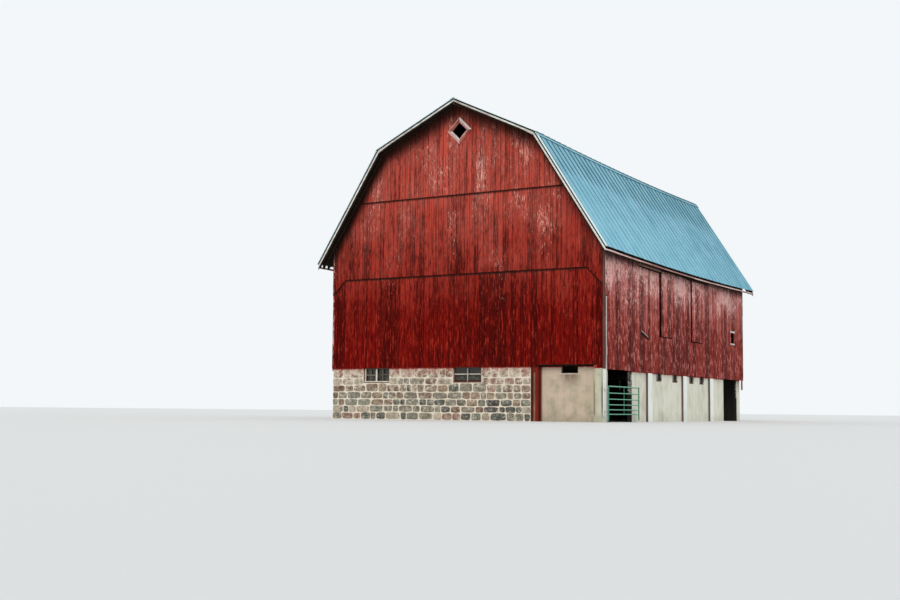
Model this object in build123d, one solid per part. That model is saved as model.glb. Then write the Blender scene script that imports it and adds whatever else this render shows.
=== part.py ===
"""Red bank barn: a timber-framed hay barn with a gambrel roof on a stone and concrete basement.

X runs across the gable, +X towards the wall with the doorways. Y runs along the ridge, and the
gable with the stone wall and the filled-in bay faces -Y. Z is up, and the walls stand on z = 0.
The origin is the middle of the building at ground level. All sizes are in millimetres.
"""

import math
import os

from build123d import *

os.makedirs("parts", exist_ok=True)

# Outer faces of the board walls
barn_width = 12190
barn_length = 17440
half_width = barn_width / 2
half_length = barn_length / 2

# Basement walls
foundation_height = 2100
stone_thickness = 450
stone_setback = 50
concrete_thickness = 200
concrete_setback = 90

# Board walls: the boards hang down past the top of the basement wall, except over the filled-in bay
siding_thickness = 30
gable_drop = 30
side_drop = 140
bay_lift = 30
corner_drop = 115
corner_board_start = 5850
gable_foot = foundation_height - gable_drop
side_foot = foundation_height - side_drop
bay_foot = foundation_height + bay_lift
corner_foot = foundation_height - corner_drop
siding_lap = 60
inner_half_width = half_width - siding_thickness
inner_half_length = half_length - siding_thickness

# Gambrel roof, measured on the upper face of the metal between its ribs
lower_pitch = 57.45
upper_pitch = 25.55
eave_overhang = 395
eave_height = 6400
break_half_width = 3565
rake_overhang = 600
roof_sag = 95
eave_half_width = half_width + eave_overhang
lower_rise = math.tan(math.radians(lower_pitch))
upper_rise = math.tan(math.radians(upper_pitch))
break_height = eave_height + (eave_half_width - break_half_width) * lower_rise
ridge_height = break_height + break_half_width * upper_rise

# Roof layers, measured square to the slope. The seats are the level cuts of the rafters on the plates
metal_thickness = 6
deck_thickness = 25
rafter_depth = 150
rafter_width = 50
rafter_notch_gap = 3
rafter_count = 17
rafters_per_bay = 4
seam_count = 37
seam_height = 25
seam_foot_width = 46
seam_top_width = 22
lower_sheet_start = 60
flashing_reach = 165
flashing_gap = 0.3
ridge_cap_half_width = 170
ridge_cap_thickness = 6
ridge_cap_gap = 0.3
ridge_board_width = 50
ridge_board_depth = 200
metal_drip = 30
metal_rake_drip = 20
fascia_thickness = 25
fascia_depth = 80
fascia_gap = 75
fly_rafters_per_rake = 2
wall_seat = 60
purlin_seat = 90
rake_board_drop = 55
rake_board_depth = 105
deck_underside = metal_thickness + deck_thickness
rafter_underside = deck_underside + rafter_depth
tail_end = eave_half_width - metal_drip - fascia_thickness
rake_end = half_length + rake_overhang
deck_end = rake_end - fascia_thickness
sheet_end = rake_end + metal_rake_drip

# Timber frame
sill_width = 250
sill_depth = 200
floor_thickness = 40
post_size = 200
plate_size = 200
tie_depth = 200
tie_drop = 50
brace_size = 120
brace_reach = 900
joist_width = 75
summer_beam_x = 2000
summer_beam_width = 250
summer_beam_depth = 250
floor_top = foundation_height + sill_depth + floor_thickness

# Gable: three tiers of boards, each one lapped over the tier below it
lower_seam_under_eave = 648
upper_seam_under_break = 2057
diamond_under_ridge = 1206
lower_seam_height = eave_height - lower_seam_under_eave
upper_seam_height = break_height - upper_seam_under_break
diamond_height = ridge_height - diamond_under_ridge
seam_corner_cut = 640
diamond_half_opening = 310
diamond_half_frame = 530
diamond_frame_thickness = 28

# Front and rear basement wall
front_window_width = 1275
front_window_height = 600
front_window_centres = [-3895, 360]
front_frame_bar = 55
front_frame_depth = 90
front_frame_inset = 70
front_sill_board = 45
infill_bay_start = 3420
bay_slot_width = 50
infill_setback = 250
infill_head_gap = 40
red_post_width = 290
vent_start = 4295
vent_width = 700
vent_height = 285

# Doorway wall: distances along the wall from the front corner
corner_pier_size = 355
near_doorway = (660, 3050)
far_doorway = (14500, 16880)
far_pier_setback = 190
pilaster_starts = [4560, 8715, 12295]
pilaster_width = 480
side_window_starts = [5715, 7600, 9720, 11085]
side_window_width = 620
side_window_height = 320
side_frame_bar = 40
side_frame_depth = 70
side_frame_inset = 50
glass_thickness = 5

# Boards of the doorway wall
hay_door_starts = [5830, 9690]
hay_door_width = 1600
hay_door_foot = 3400
hay_door_head_gap = 135
hay_door_lap = 50
hay_door_thickness = 34
loft_window_inset = 1510
loft_window_width = 420
loft_window_foot = 3710
loft_window_height = 490
loft_trim_reach = 150
loft_trim_depth = 90
loft_trim_thickness = 28
strip_start = 260
strip_width = 130
strip_top = 4660
strip_thickness = 18
loose_board_start = 3850
loose_board_height = 3420
loose_board_length = 720
loose_board_width = 130
loose_board_thickness = 24
loose_board_slope = 17
hanging_board_inset = 150
hanging_board_width = 190
hanging_board_foot = 1500

# Tube gate on the near doorway
gate_length = 3050
gate_top = 1342
gate_foot = 60
gate_stile_radius = 24
gate_rail_radius = 19
gate_rail_count = 6
gate_lowest_rail = 293
gate_lowest_gap = 165
gate_brace_radius = 15
gate_start = 215
hook_radius = 9
hook_reach = 120
low_hook_height = 375
high_hook_height = 1180
hook_pin_length = 90
hook_plate_size = 90
hook_plate_thickness = 8
eye_height = 45
eye_wall = 9
eye_offset = 62
pin_clearance = 0.25
eye_gap = 0.5


def wall_y(distance):
    """Y of a point that lies a distance along the doorway wall from the front corner."""
    return distance - half_length


def block(x0, x1, y0, y1, z0, z1):
    """A box between two corners."""
    middle = ((x0 + x1) / 2, (y0 + y1) / 2, (z0 + z1) / 2)
    return Pos(*middle) * Box(abs(x1 - x0), abs(y1 - y0), abs(z1 - z0))


def prism(corners, travel):
    """A flat outline swept along a straight line."""
    outline = Face(Wire.make_polygon([Vector(*c) for c in corners], close=True))
    return Solid.extrude(outline, Vector(*travel))


def gable_plate(outline, y0, y1):
    """A plate parallel to the gables from its outline of (x, z) points."""
    return prism([(x, y0, z) for x, z in outline], (0, y1 - y0, 0))


def side_plate(outline, x0, x1):
    """A plate parallel to the long walls from its outline of (y, z) points."""
    return prism([(x0, y, z) for y, z in outline], (x1 - x0, 0, 0))


def save(node, *solids):
    """Writes one named piece, or several like pieces that share a name."""
    found = [s for shape in solids for s in shape.solids()]
    export_step(found[0] if len(found) == 1 else Compound(found), f"parts/{node}.step")


# Rafters stand at even steps between the gable walls, and every fourth one is over a bent
first_rafter_y = -inner_half_length + rafter_width / 2
rafter_step = -2 * first_rafter_y / (rafter_count - 1)
rafter_lines = [first_rafter_y + i * rafter_step for i in range(rafter_count)]
bent_lines = rafter_lines[::rafters_per_bay]
inner_rafter_lines = rafter_lines[1:-1]
sag_stations = [-inner_half_length, *inner_rafter_lines, inner_half_length]


def sag(y):
    """How far the old roof has sunk at y: nothing at the gables and most at mid-length."""
    if abs(y) >= inner_half_length:
        return 0.0
    after = next(i for i, s in enumerate(sag_stations) if s > y)
    a, b = sag_stations[after - 1], sag_stations[after]
    drop_a, drop_b = [-roof_sag * (1 - (s / inner_half_length) ** 2) for s in (a, b)]
    return drop_a + (drop_b - drop_a) * (y - a) / (b - a)


def sagging_line(y0, y1, height):
    """Points (y, z) from y0 to y1 at a height that follows the sag."""
    between = [s for s in sag_stations if y0 < s < y1]
    return [(y, height + sag(y)) for y in (y0, *between, y1)]


def slope_z(x, lower):
    """Height of the metal's upper face at the gables, on the lower or the upper slope."""
    if lower:
        return eave_height + (eave_half_width - x) * lower_rise
    return ridge_height - x * upper_rise


def plumb(depth, lower):
    """A depth square to the slope, as the plumb depth at one x."""
    return depth / math.cos(math.radians(lower_pitch if lower else upper_pitch))


def roof_band(side, lower, x_high, x_low, top, bottom, y0, y1, seams=False):
    """One layer of a roof slope, between two depths under the metal's face.

    Its plumb section along the barn follows the sag, and is swept down the slope."""
    high = slope_z(x_high, lower)
    upper = sagging_line(y0, y1, high - plumb(top, lower))
    if seams:
        upper = seamed_line(y0, y1, high - plumb(top, lower), plumb(seam_height, lower))
    under = sagging_line(y0, y1, high - plumb(bottom, lower))
    outline = upper + under[::-1]
    corners = [(side * x_high, y, z) for y, z in outline]
    travel = (side * (x_low - x_high), 0, slope_z(x_low, lower) - high)
    return prism(corners, travel)


def seam_positions(y0, y1):
    """Middles of the raised seams, half a sheet in from each rake."""
    sheet = (y1 - y0) / seam_count
    return [y0 + (i + 0.5) * sheet for i in range(seam_count)]


def seamed_line(y0, y1, height, rise):
    """The sagging line of a sheet with its raised seams on it."""
    flat = [s for s in sag_stations if y0 < s < y1]
    raised = []
    for middle in seam_positions(y0, y1):
        foot, top = seam_foot_width / 2, seam_top_width / 2
        flat = [s for s in flat if abs(s - middle) > foot + 1]
        raised += [(middle - foot, 0), (middle - top, rise), (middle + top, rise), (middle + foot, 0)]
    line = sorted([(y0, 0), (y1, 0), *[(s, 0) for s in flat], *raised])
    return [(y, height + sag(y) + up) for y, up in line]


def roof_outline(depth, half=None):
    """The gambrel's outline at a depth under the metal, from the right eave to the left."""
    edge = half or half_width
    lower_drop, upper_drop = plumb(depth, True), plumb(depth, False)
    shift = (lower_drop - upper_drop) / (lower_rise - upper_rise)
    break_x = break_half_width - shift
    break_z = slope_z(break_x, True) - lower_drop
    right = [(edge, slope_z(edge, True) - lower_drop), (break_x, break_z)]
    left = [(-x, z) for x, z in right[::-1]]
    return [*right, (0, ridge_height - upper_drop), *left]


def roof_x(outline, height):
    """Half the width of the roof outline at a height on the lower slope."""
    (x0, z0), (x1, z1) = outline[0], outline[1]
    return x0 + (x1 - x0) * (height - z0) / (z1 - z0)


def rectangle(a0, a1, z0, z1):
    """The four corners of an upright rectangle."""
    return [(a0, z0), (a1, z0), (a1, z1), (a0, z1)]


def diamond(half):
    """The four corners of the gable's diamond."""
    z = diamond_height
    return [(half, z), (0, z + half), (-half, z), (0, z - half)]


def stone_walls():
    """Basement walls of split field stone, with window openings up to the sill beam."""
    face = half_length - stone_setback
    inner = face - stone_thickness
    outer_x = half_width - stone_setback
    foot = gable_foot - front_window_height
    red_post_x = infill_bay_start - red_post_width
    pier_x = half_width - corner_pier_size
    for name, side, end in (("front_stone_wall", -1, red_post_x), ("rear_stone_wall", 1, pier_x)):
        wall = block(-outer_x, end, side * face, side * inner, 0, foundation_height)
        for middle in front_window_centres:
            half = front_window_width / 2
            wall -= block(middle - half, middle + half, side * (face + 1), side * (inner - 1),
                          foot, foundation_height + 1)
        save(name, wall)
    save("left_stone_wall",
         block(-outer_x, -outer_x + stone_thickness, -inner, inner, 0, foundation_height))


def front_bay():
    """The old doorway beside the corner, filled with concrete, its red post and the corner pier."""
    face = -half_length + stone_setback
    infill_face = -half_length + infill_setback
    infill_back = infill_face + concrete_thickness
    infill_start = infill_bay_start + bay_slot_width
    infill_top = foundation_height - infill_head_gap
    pier_start = half_width - corner_pier_size
    pier_end = -half_length + corner_pier_size
    infill = block(infill_start, pier_start, infill_face, infill_back, 0, infill_top)
    infill -= block(vent_start, vent_start + vent_width, infill_face - 1, infill_back + 1,
                    gable_foot - vent_height, infill_top + 1)
    save("front_infill_wall", infill)
    save("front_red_post", block(infill_bay_start - red_post_width, infill_bay_start, face, infill_face,
                                 0, foundation_height))
    pier = block(pier_start, half_width, -half_length, pier_end, 0, foundation_height)
    pier -= block(pier_start - 1, half_width + 1, -half_length - 1, -inner_half_length,
                  corner_foot, foundation_height + 1)
    pier -= block(inner_half_width, half_width + 1, -half_length - 1, pier_end + 1,
                  side_foot, foundation_height + 1)
    save("near_corner_pier", pier)


def doorway_wall():
    """Concrete panels and pilasters between the two doorways."""
    face = half_width - concrete_setback
    inner = face - concrete_thickness
    after = [start + pilaster_width for start in pilaster_starts]
    spans = [(corner_pier_size, near_doorway[0]), (near_doorway[1], pilaster_starts[0]),
             (after[0], pilaster_starts[1]), (after[1], pilaster_starts[2]), (after[2], far_doorway[0])]
    panels = []
    for start, end in spans:
        panel = block(inner, face, wall_y(start), wall_y(end), 0, foundation_height)
        for window in side_window_starts:
            if start <= window < end:
                panel -= block(inner - 1, face + 1, wall_y(window), wall_y(window + side_window_width),
                               side_foot - side_window_height, foundation_height + 1)
        panels.append(panel)
    save("right_wall_panels", *panels)
    pilasters = []
    for start in pilaster_starts:
        y0, y1 = wall_y(start), wall_y(start + pilaster_width)
        pilaster = block(inner, half_width, y0, y1, 0, foundation_height)
        pilasters.append(pilaster - block(inner_half_width, half_width + 1, y0 - 1, y1 + 1,
                                          side_foot, foundation_height + 1))
    save("right_wall_pilasters", *pilasters)
    pier_start = half_width - corner_pier_size
    save("far_corner_pier", block(pier_start, half_width - far_pier_setback, wall_y(far_doorway[1]),
                                  half_length - stone_setback, 0, foundation_height))


def hay_floor():
    """Sill beams, joists on two summer beams with their posts, and the hay floor."""
    top = foundation_height + sill_depth
    side_sills, end_sills = [], []
    for side in (-1, 1):
        side_sills.append(block(side * inner_half_width, side * (inner_half_width - sill_width),
                                -inner_half_length, inner_half_length, foundation_height, top))
        reach = inner_half_width - sill_width
        end_sills.append(block(-reach, reach, side * inner_half_length,
                               side * (inner_half_length - sill_width), foundation_height, top))
    save("side_sill_beams", *side_sills)
    save("end_sill_beams", *end_sills)
    reach = inner_half_width - sill_width
    joists = [block(-reach, reach, y - joist_width / 2, y + joist_width / 2, foundation_height, top)
              for y in inner_rafter_lines]
    save("floor_joists", *joists)
    save("hay_floor", block(-inner_half_width, inner_half_width, -inner_half_length, inner_half_length,
                            top, floor_top))
    stone_inner = half_length - stone_setback - stone_thickness
    beam_foot = foundation_height - summer_beam_depth
    half = summer_beam_width / 2
    beams = [block(x - half, x + half, -stone_inner, stone_inner, beam_foot, foundation_height)
             for x in (-summer_beam_x, summer_beam_x)]
    save("summer_beams", *beams)
    half = post_size / 2
    posts = [block(x - half, x + half, y - half, y + half, 0, beam_foot)
             for x in (-summer_beam_x, summer_beam_x) for y in bent_lines[1:-1]]
    save("basement_posts", *posts)


def sagging_beam(x0, x1, top, depth, y0, y1):
    """A beam along the barn that follows the sag."""
    upper = sagging_line(y0, y1, top)
    under = sagging_line(y0, y1, top - depth)
    return side_plate(upper + under[::-1], x0, x1)


def bent_y(line):
    """Start and end of a post on a bent line, kept inside the gable walls."""
    start = min(max(line - post_size / 2, -inner_half_length), inner_half_length - post_size)
    return start, start + post_size


def wall_plate(side):
    """The plate on the wall posts, let into the rafters by the width of their level seat."""
    top = slope_z(inner_half_width, True) - plumb(rafter_underside, True) + wall_seat * lower_rise
    return sagging_beam(side * (inner_half_width - plate_size), side * inner_half_width, top, plate_size,
                        -inner_half_length, inner_half_length)


def purlin_plate(side):
    """The plate under the break of the roof, let into the upper rafters by their level seat."""
    top = slope_z(break_half_width, False) - plumb(rafter_underside, False) + purlin_seat * upper_rise
    return sagging_beam(side * (break_half_width - plate_size), side * break_half_width, top, plate_size,
                        -inner_half_length, inner_half_length)


def frame_post(side, outer_face, y0, y1, plate):
    """A post from the hay floor up to the foot of the plate on it."""
    plate_foot = plate.bounding_box().max.Z - plate_size
    outline = [(y0, floor_top), *sagging_line(y0, y1, plate_foot), (y1, floor_top)]
    return side_plate(outline, side * (outer_face - post_size), side * outer_face)


def ridge_boards():
    """The ridge board between the gables, and its ends that carry the rafters beyond them."""
    half = ridge_board_width / 2
    top = ridge_height - plumb(deck_underside, False) - half * upper_rise
    gable_face = inner_half_length + 3 * siding_thickness
    spans = [(-inner_half_length, inner_half_length), (-deck_end, -gable_face), (gable_face, deck_end)]
    return [sagging_beam(-half, half, top, ridge_board_depth, y0, y1) for y0, y1 in spans]


def timber_frame():
    """Posts, ties, braces and plates of the bents that carry the eaves and the break of the roof."""
    plates = ridge_boards()
    wall_posts, purlin_posts, ties, braces = [], [], [], []
    tie_end = inner_half_width - post_size
    for side in (-1, 1):
        eave_plate, break_plate = wall_plate(side), purlin_plate(side)
        plates += [eave_plate, break_plate]
        tie_top = eave_plate.bounding_box().max.Z - plate_size - tie_drop - roof_sag
        for line in bent_lines:
            y0, y1 = bent_y(line)
            wall_posts.append(frame_post(side, inner_half_width, y0, y1, eave_plate))
            purlin_posts.append(frame_post(side, break_half_width, y0, y1, break_plate))
            tie_foot = tie_top - tie_depth
            ties.append(block(side * break_half_width, side * tie_end, y0, y1, tie_foot, tie_top))
            braces.append(brace(side, tie_end, tie_foot, (y0 + y1) / 2))
    save("roof_plates", *plates)
    save("wall_posts", *wall_posts)
    save("purlin_posts", *purlin_posts)
    save("tie_beams", *ties)
    save("tie_braces", *braces)


def brace(side, post_face, tie_foot, y):
    """A knee brace from a wall post up to the tie beam."""
    plumb_width = brace_size * math.sqrt(2)
    outline = [(post_face, tie_foot - brace_reach), (post_face - brace_reach, tie_foot),
               (post_face - brace_reach + plumb_width, tie_foot),
               (post_face, tie_foot - brace_reach + plumb_width)]
    outline = [(side * x, z) for x, z in outline]
    return gable_plate(outline, y - brace_size / 2, y + brace_size / 2)


def fly_rafter_lines():
    """Rafters beyond the gable walls, evenly spaced out to the rake boards."""
    outer = deck_end - rafter_width / 2
    step = (outer - half_length) / fly_rafters_per_rake
    lines = [outer - i * step for i in range(fly_rafters_per_rake)]
    return [-line for line in lines] + lines


def rafters():
    """Lower rafters run out past the wall to the eave board, upper ones meet at the ridge board.

    Both have level seats where they bear on a plate. Those beyond the gables hang from the roof boards."""
    fascia_foot = fascia_top() - fascia_depth
    lower, upper = [], []
    for side in (-1, 1):
        eave_plate, break_plate = wall_plate(side), purlin_plate(side)
        for line in rafter_lines + fly_rafter_lines():
            y0, y1 = line - rafter_width / 2, line + rafter_width / 2
            rafter = roof_band(side, True, break_half_width, tail_end,
                               deck_underside, rafter_underside, y0, y1)
            tail_cut = block(side * half_width, side * (tail_end + 1), y0 - 1, y1 + 1,
                             fascia_foot - eave_height, fascia_foot + min(sag(y0), sag(y1)))
            head = roof_band(side, False, ridge_board_width / 2, break_half_width,
                             deck_underside, rafter_underside, y0, y1)
            if abs(line) < half_length:
                rafter -= eave_plate
                head -= break_plate
            lower.append(rafter - tail_cut)
            upper.append(head)
    save("lower_rafters", *lower)
    save("upper_rafters", *upper)


def fascia_top():
    """Top of the eave board at the gables, a hand's width under the edge of the metal."""
    return eave_height - plumb(metal_thickness, True) - fascia_gap


def roof_covering():
    """Roof boards with seamed metal sheets over them, the ridge cap, and the eave and rake boards.

    At the break a plain flashing runs from the end of the upper sheets down over the lower seams."""
    cap_foot = seam_height + ridge_cap_gap
    flashing_foot = seam_height + flashing_gap
    bend = plumb(flashing_foot + metal_thickness, True) / (lower_rise - upper_rise)
    bend_x = break_half_width + bend
    flashing_x = bend_x + flashing_reach * math.cos(math.radians(lower_pitch))
    caps, lower_boards, lower_sheets, eave_boards = [], [], [], []
    for name, side in (("left", -1), ("right", 1)):
        lower_boards.append(roof_band(side, True, break_half_width, tail_end, metal_thickness,
                                      deck_underside, -deck_end, deck_end))
        lower_sheets.append(roof_band(side, True, break_half_width + lower_sheet_start, eave_half_width,
                                      0, metal_thickness, -sheet_end, sheet_end, seams=True))
        save(f"roof_boards_upper_{name}",
             roof_band(side, False, 0, break_half_width, metal_thickness, deck_underside,
                       -deck_end, deck_end))
        save(f"roof_metal_upper_{name}",
             roof_band(side, False, 0, bend_x, 0, metal_thickness, -sheet_end, sheet_end, seams=True),
             roof_band(side, True, bend_x, flashing_x, -flashing_foot - metal_thickness, -flashing_foot,
                       -sheet_end, sheet_end))
        caps.append(roof_band(side, False, 0, ridge_cap_half_width, -cap_foot - ridge_cap_thickness,
                              -cap_foot, -sheet_end, sheet_end))
        eave_boards.append(sagging_beam(side * tail_end, side * (tail_end + fascia_thickness),
                                        fascia_top(), fascia_depth, -deck_end, deck_end))
    save("roof_boards_lower", *lower_boards)
    save("roof_metal_lower", *lower_sheets)
    save("ridge_cap", caps[0] + caps[1])
    save("eave_boards", *eave_boards)
    outer = roof_outline(rake_board_drop, tail_end + fascia_thickness)
    inner = roof_outline(rake_board_drop + rake_board_depth, tail_end + fascia_thickness)
    save("rake_boards", *[gable_plate(outer + inner[::-1], side * deck_end, side * rake_end)
                          for side in (-1, 1)])


def gable_siding():
    """Three tiers of upright boards on each gable, and the framed diamond opening near the peak."""
    roof = roof_outline(deck_underside)
    cut_foot = lower_seam_height - seam_corner_cut
    cut_x = half_width - seam_corner_cut
    seam = [(half_width, cut_foot), (cut_x, lower_seam_height)]
    seam += [(-x, z) for x, z in seam[::-1]]
    lower_top = [(x, z + siding_lap) for x, z in seam]
    stepped_foot = [(-half_width, gable_foot), (infill_bay_start, gable_foot), (infill_bay_start, bay_foot),
                    (corner_board_start, bay_foot), (corner_board_start, corner_foot),
                    (half_width, corner_foot)]
    level_foot = [(-half_width, gable_foot), (half_width, gable_foot)]
    middle_top = upper_seam_height + siding_lap
    middle_x, upper_x = roof_x(roof, middle_top), roof_x(roof, upper_seam_height)
    middle = [*seam[::-1], roof[0], (middle_x, middle_top), (-middle_x, middle_top), roof[-1]]
    upper = [(upper_x, upper_seam_height), *roof[1:-1], (-upper_x, upper_seam_height)]
    frames = []
    for name, side, foot in (("front", -1, stepped_foot), ("rear", 1, level_foot)):
        inner = side * inner_half_length
        faces = [inner + side * siding_thickness * tier for tier in range(4)]
        save(f"{name}_siding_lower", gable_plate(foot + lower_top, faces[0], faces[1]))
        save(f"{name}_siding_middle", gable_plate(middle, faces[1], faces[2]))
        hole = gable_plate(diamond(diamond_half_opening), faces[2] - side, faces[3] + side)
        save(f"{name}_siding_upper", gable_plate(upper, faces[2], faces[3]) - hole)
        frame_face = faces[3] + side * diamond_frame_thickness
        frame = gable_plate(diamond(diamond_half_frame), faces[3], frame_face)
        frames.append(frame - gable_plate(diamond(diamond_half_opening), faces[3] - side,
                                          frame_face + side))
    save("diamond_frames", *frames)


def side_siding():
    """Upright boards of the long walls, notched round the rafters, with the doorway wall's openings."""
    top = slope_z(half_width, True) - plumb(deck_underside, True)
    notch_foot = slope_z(half_width, True) - plumb(rafter_underside, True)
    half_notch = rafter_width / 2 + rafter_notch_gap
    corner = [(inner_half_length, side_foot), (-inner_half_length, side_foot)]
    hang_end = half_length - hanging_board_inset
    hang_start = hang_end - hanging_board_width
    hanging = [(hang_end, side_foot), (hang_end, hanging_board_foot),
               (hang_start, hanging_board_foot), (hang_start, side_foot)]
    for name, side in (("left", -1), ("right", 1)):
        outline = sagging_line(-inner_half_length, inner_half_length, top)
        outline += [corner[0], *(hanging if side > 0 else []), corner[1]]
        wall = side_plate(outline, side * inner_half_width, side * half_width)
        for line in rafter_lines:
            y0, y1 = line - half_notch, line + half_notch
            foot = notch_foot + min(sag(y0), sag(line), sag(y1)) - rafter_notch_gap
            wall -= block(side * (inner_half_width - 1), side * (half_width + 1), y0, y1, foot, top + 1)
        if side > 0:
            for start in hay_door_starts:
                wall -= block(inner_half_width - 1, half_width + 1, wall_y(start + hay_door_lap),
                              wall_y(start + hay_door_width - hay_door_lap),
                              hay_door_foot + hay_door_lap, hay_door_top() - hay_door_lap)
            loft_start, loft_end = loft_window_ends()
            wall -= block(inner_half_width - 1, half_width + 1, loft_start, loft_end,
                          loft_window_foot, loft_window_foot + loft_window_height)
        save(f"{name}_siding", wall)


def loft_window_ends():
    """Start and end of the loft window, which is set out from the far corner."""
    end = half_length - loft_window_inset
    return end - loft_window_width, end


def hay_door_top():
    """Top of the hay doors, clear of the rafter tails where the roof has sunk most."""
    return slope_z(half_width, True) - plumb(rafter_underside, True) - roof_sag - hay_door_head_gap


def wall_fittings():
    """Hay doors, trim and loose boards on the doorway wall."""
    save("hay_doors", *[block(half_width, half_width + hay_door_thickness, wall_y(start),
                              wall_y(start + hay_door_width), hay_door_foot, hay_door_top())
                        for start in hay_door_starts])
    loft_start, loft_end = loft_window_ends()
    y0, y1 = loft_start - loft_trim_reach, loft_end + loft_trim_reach / 2
    head = loft_window_foot + loft_window_height
    face = half_width + loft_trim_thickness
    save("loft_window_trim", block(half_width, face, y0, y1, head, head + loft_trim_depth),
         block(half_width, face, y0, y1, loft_window_foot - loft_trim_depth, loft_window_foot))
    save("corner_strip", block(half_width, half_width + strip_thickness, wall_y(strip_start),
                               wall_y(strip_start + strip_width), side_foot, strip_top))
    board = Box(loose_board_thickness, loose_board_length, loose_board_width)
    middle = wall_y(loose_board_start + loose_board_length / 2)
    place = Pos(half_width + loose_board_thickness / 2, middle, loose_board_height)
    save("loose_board", place * Rot(-loose_board_slope, 0, 0) * board)


def window_frames():
    """Frames and glass of the basement windows, set back in their openings."""
    frames, panes = [], []
    foot, head = gable_foot - front_window_height, foundation_height
    for side in (-1, 1):
        face = side * (half_length - stone_setback - front_frame_inset)
        back = face - side * front_frame_depth
        for middle in front_window_centres:
            x0, x1 = middle - front_window_width / 2, middle + front_window_width / 2
            inner = (x0 + front_frame_bar, x1 - front_frame_bar,
                     foot + front_sill_board, head - front_frame_bar)
            frame = gable_plate(rectangle(x0, x1, foot, head), face, back)
            frames.append(frame - gable_plate(rectangle(*inner), face + side, back - side))
            pane_face = (face + back) / 2
            panes.append(gable_plate(rectangle(*inner), pane_face, pane_face - side * glass_thickness))
    save("end_window_frames", *frames)
    frames = []
    foot = side_foot - side_window_height
    face = half_width - concrete_setback - side_frame_inset
    back = face - side_frame_depth
    for start in side_window_starts:
        y0, y1 = wall_y(start), wall_y(start + side_window_width)
        inner = (y0 + side_frame_bar, y1 - side_frame_bar, foot + side_frame_bar, head - side_frame_bar)
        frame = side_plate(rectangle(y0, y1, foot, head), face, back)
        frames.append(frame - side_plate(rectangle(*inner), face + 1, back - 1))
        pane_face = (face + back) / 2
        panes.append(side_plate(rectangle(*inner), pane_face, pane_face - glass_thickness))
    save("side_window_frames", *frames)
    save("window_glass", *panes)


def gate_rail_heights():
    """Rail centres: the gaps grow evenly from the lowest rail to the top one."""
    gaps = gate_rail_count - 1
    top_rail = gate_top - gate_stile_radius
    growth = (top_rail - gate_lowest_rail - gaps * gate_lowest_gap) / (gaps * (gaps - 1) / 2)
    return [gate_lowest_rail + i * gate_lowest_gap + i * (i - 1) / 2 * growth
            for i in range(gate_rail_count)]


def doorway_gate():
    """A tube gate on two hooks in the corner pier, closed across the near doorway."""
    pin_x = half_width + hook_reach
    first_y = wall_y(gate_start) + gate_stile_radius
    last_y = first_y + gate_length - 2 * gate_stile_radius
    middle_y = (first_y + last_y) / 2
    pin_y = first_y - eye_offset
    heights = gate_rail_heights()
    gate = upright(pin_x, first_y, gate_foot, gate_top, gate_stile_radius)
    gate += upright(pin_x, last_y, gate_foot, gate_top, gate_stile_radius)
    gate += upright(pin_x, middle_y, heights[0], heights[-1], gate_brace_radius)
    for z in heights:
        radius = gate_stile_radius if z == heights[-1] else gate_rail_radius
        gate += Pos(pin_x, middle_y, z) * Rot(90, 0, 0) * Cylinder(radius, last_y - first_y)
    bore = hook_radius + pin_clearance
    for z in (low_hook_height, high_hook_height):
        foot = z + hook_radius + eye_gap
        gate += upright(pin_x, pin_y, foot, foot + eye_height, bore + eye_wall)
        gate += block(pin_x - eye_wall / 2, pin_x + eye_wall / 2, pin_y, first_y, foot, foot + eye_height)
        gate -= upright(pin_x, pin_y, foot - 1, foot + eye_height + 1, bore)
    save("doorway_gate", gate)


def gate_hooks():
    """Bent rod hooks that stand out of plates on the corner pier, with the gate's eyes on them."""
    pin_x = half_width + hook_reach
    pin_y = wall_y(gate_start) + gate_stile_radius - eye_offset
    hooks = []
    for z in (low_hook_height, high_hook_height):
        path = Polyline((half_width, pin_y, z), (pin_x, pin_y, z), (pin_x, pin_y, z + hook_pin_length))
        rod = sweep(Plane((half_width, pin_y, z), z_dir=(1, 0, 0)) * Circle(hook_radius), path=path,
                    transition=Transition.RIGHT)
        plate = block(half_width, half_width + hook_plate_thickness, pin_y - hook_plate_size / 2,
                      pin_y + hook_plate_size / 2, z - hook_plate_size / 2, z + hook_plate_size / 2)
        hooks.append(rod + plate)
    save("gate_hooks", *hooks)


def upright(x, y, z0, z1, radius):
    """A round upright between two heights."""
    return Pos(x, y, (z0 + z1) / 2) * Cylinder(radius, z1 - z0)


stone_walls()
front_bay()
doorway_wall()
hay_floor()
timber_frame()
rafters()
roof_covering()
gable_siding()
side_siding()
wall_fittings()
window_frames()
doorway_gate()
gate_hooks()
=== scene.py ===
# %% [markdown]
# # Red bank barn
#
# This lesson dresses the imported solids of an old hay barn. The real one is a timber frame with
# upright boards nailed over it, a gambrel roof of seamed metal, and a livestock basement of field
# stone and poured concrete. Each step says what a piece is, how it could be made, and why it is
# made this way. Everything is in metres, in the frame's own axes: X across the gable, Y along the
# ridge, Z up.

# %% Load the frame
import math
import random

import bmesh
import bpy
import numpy as np
from mathutils import Matrix, Vector, noise


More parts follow.
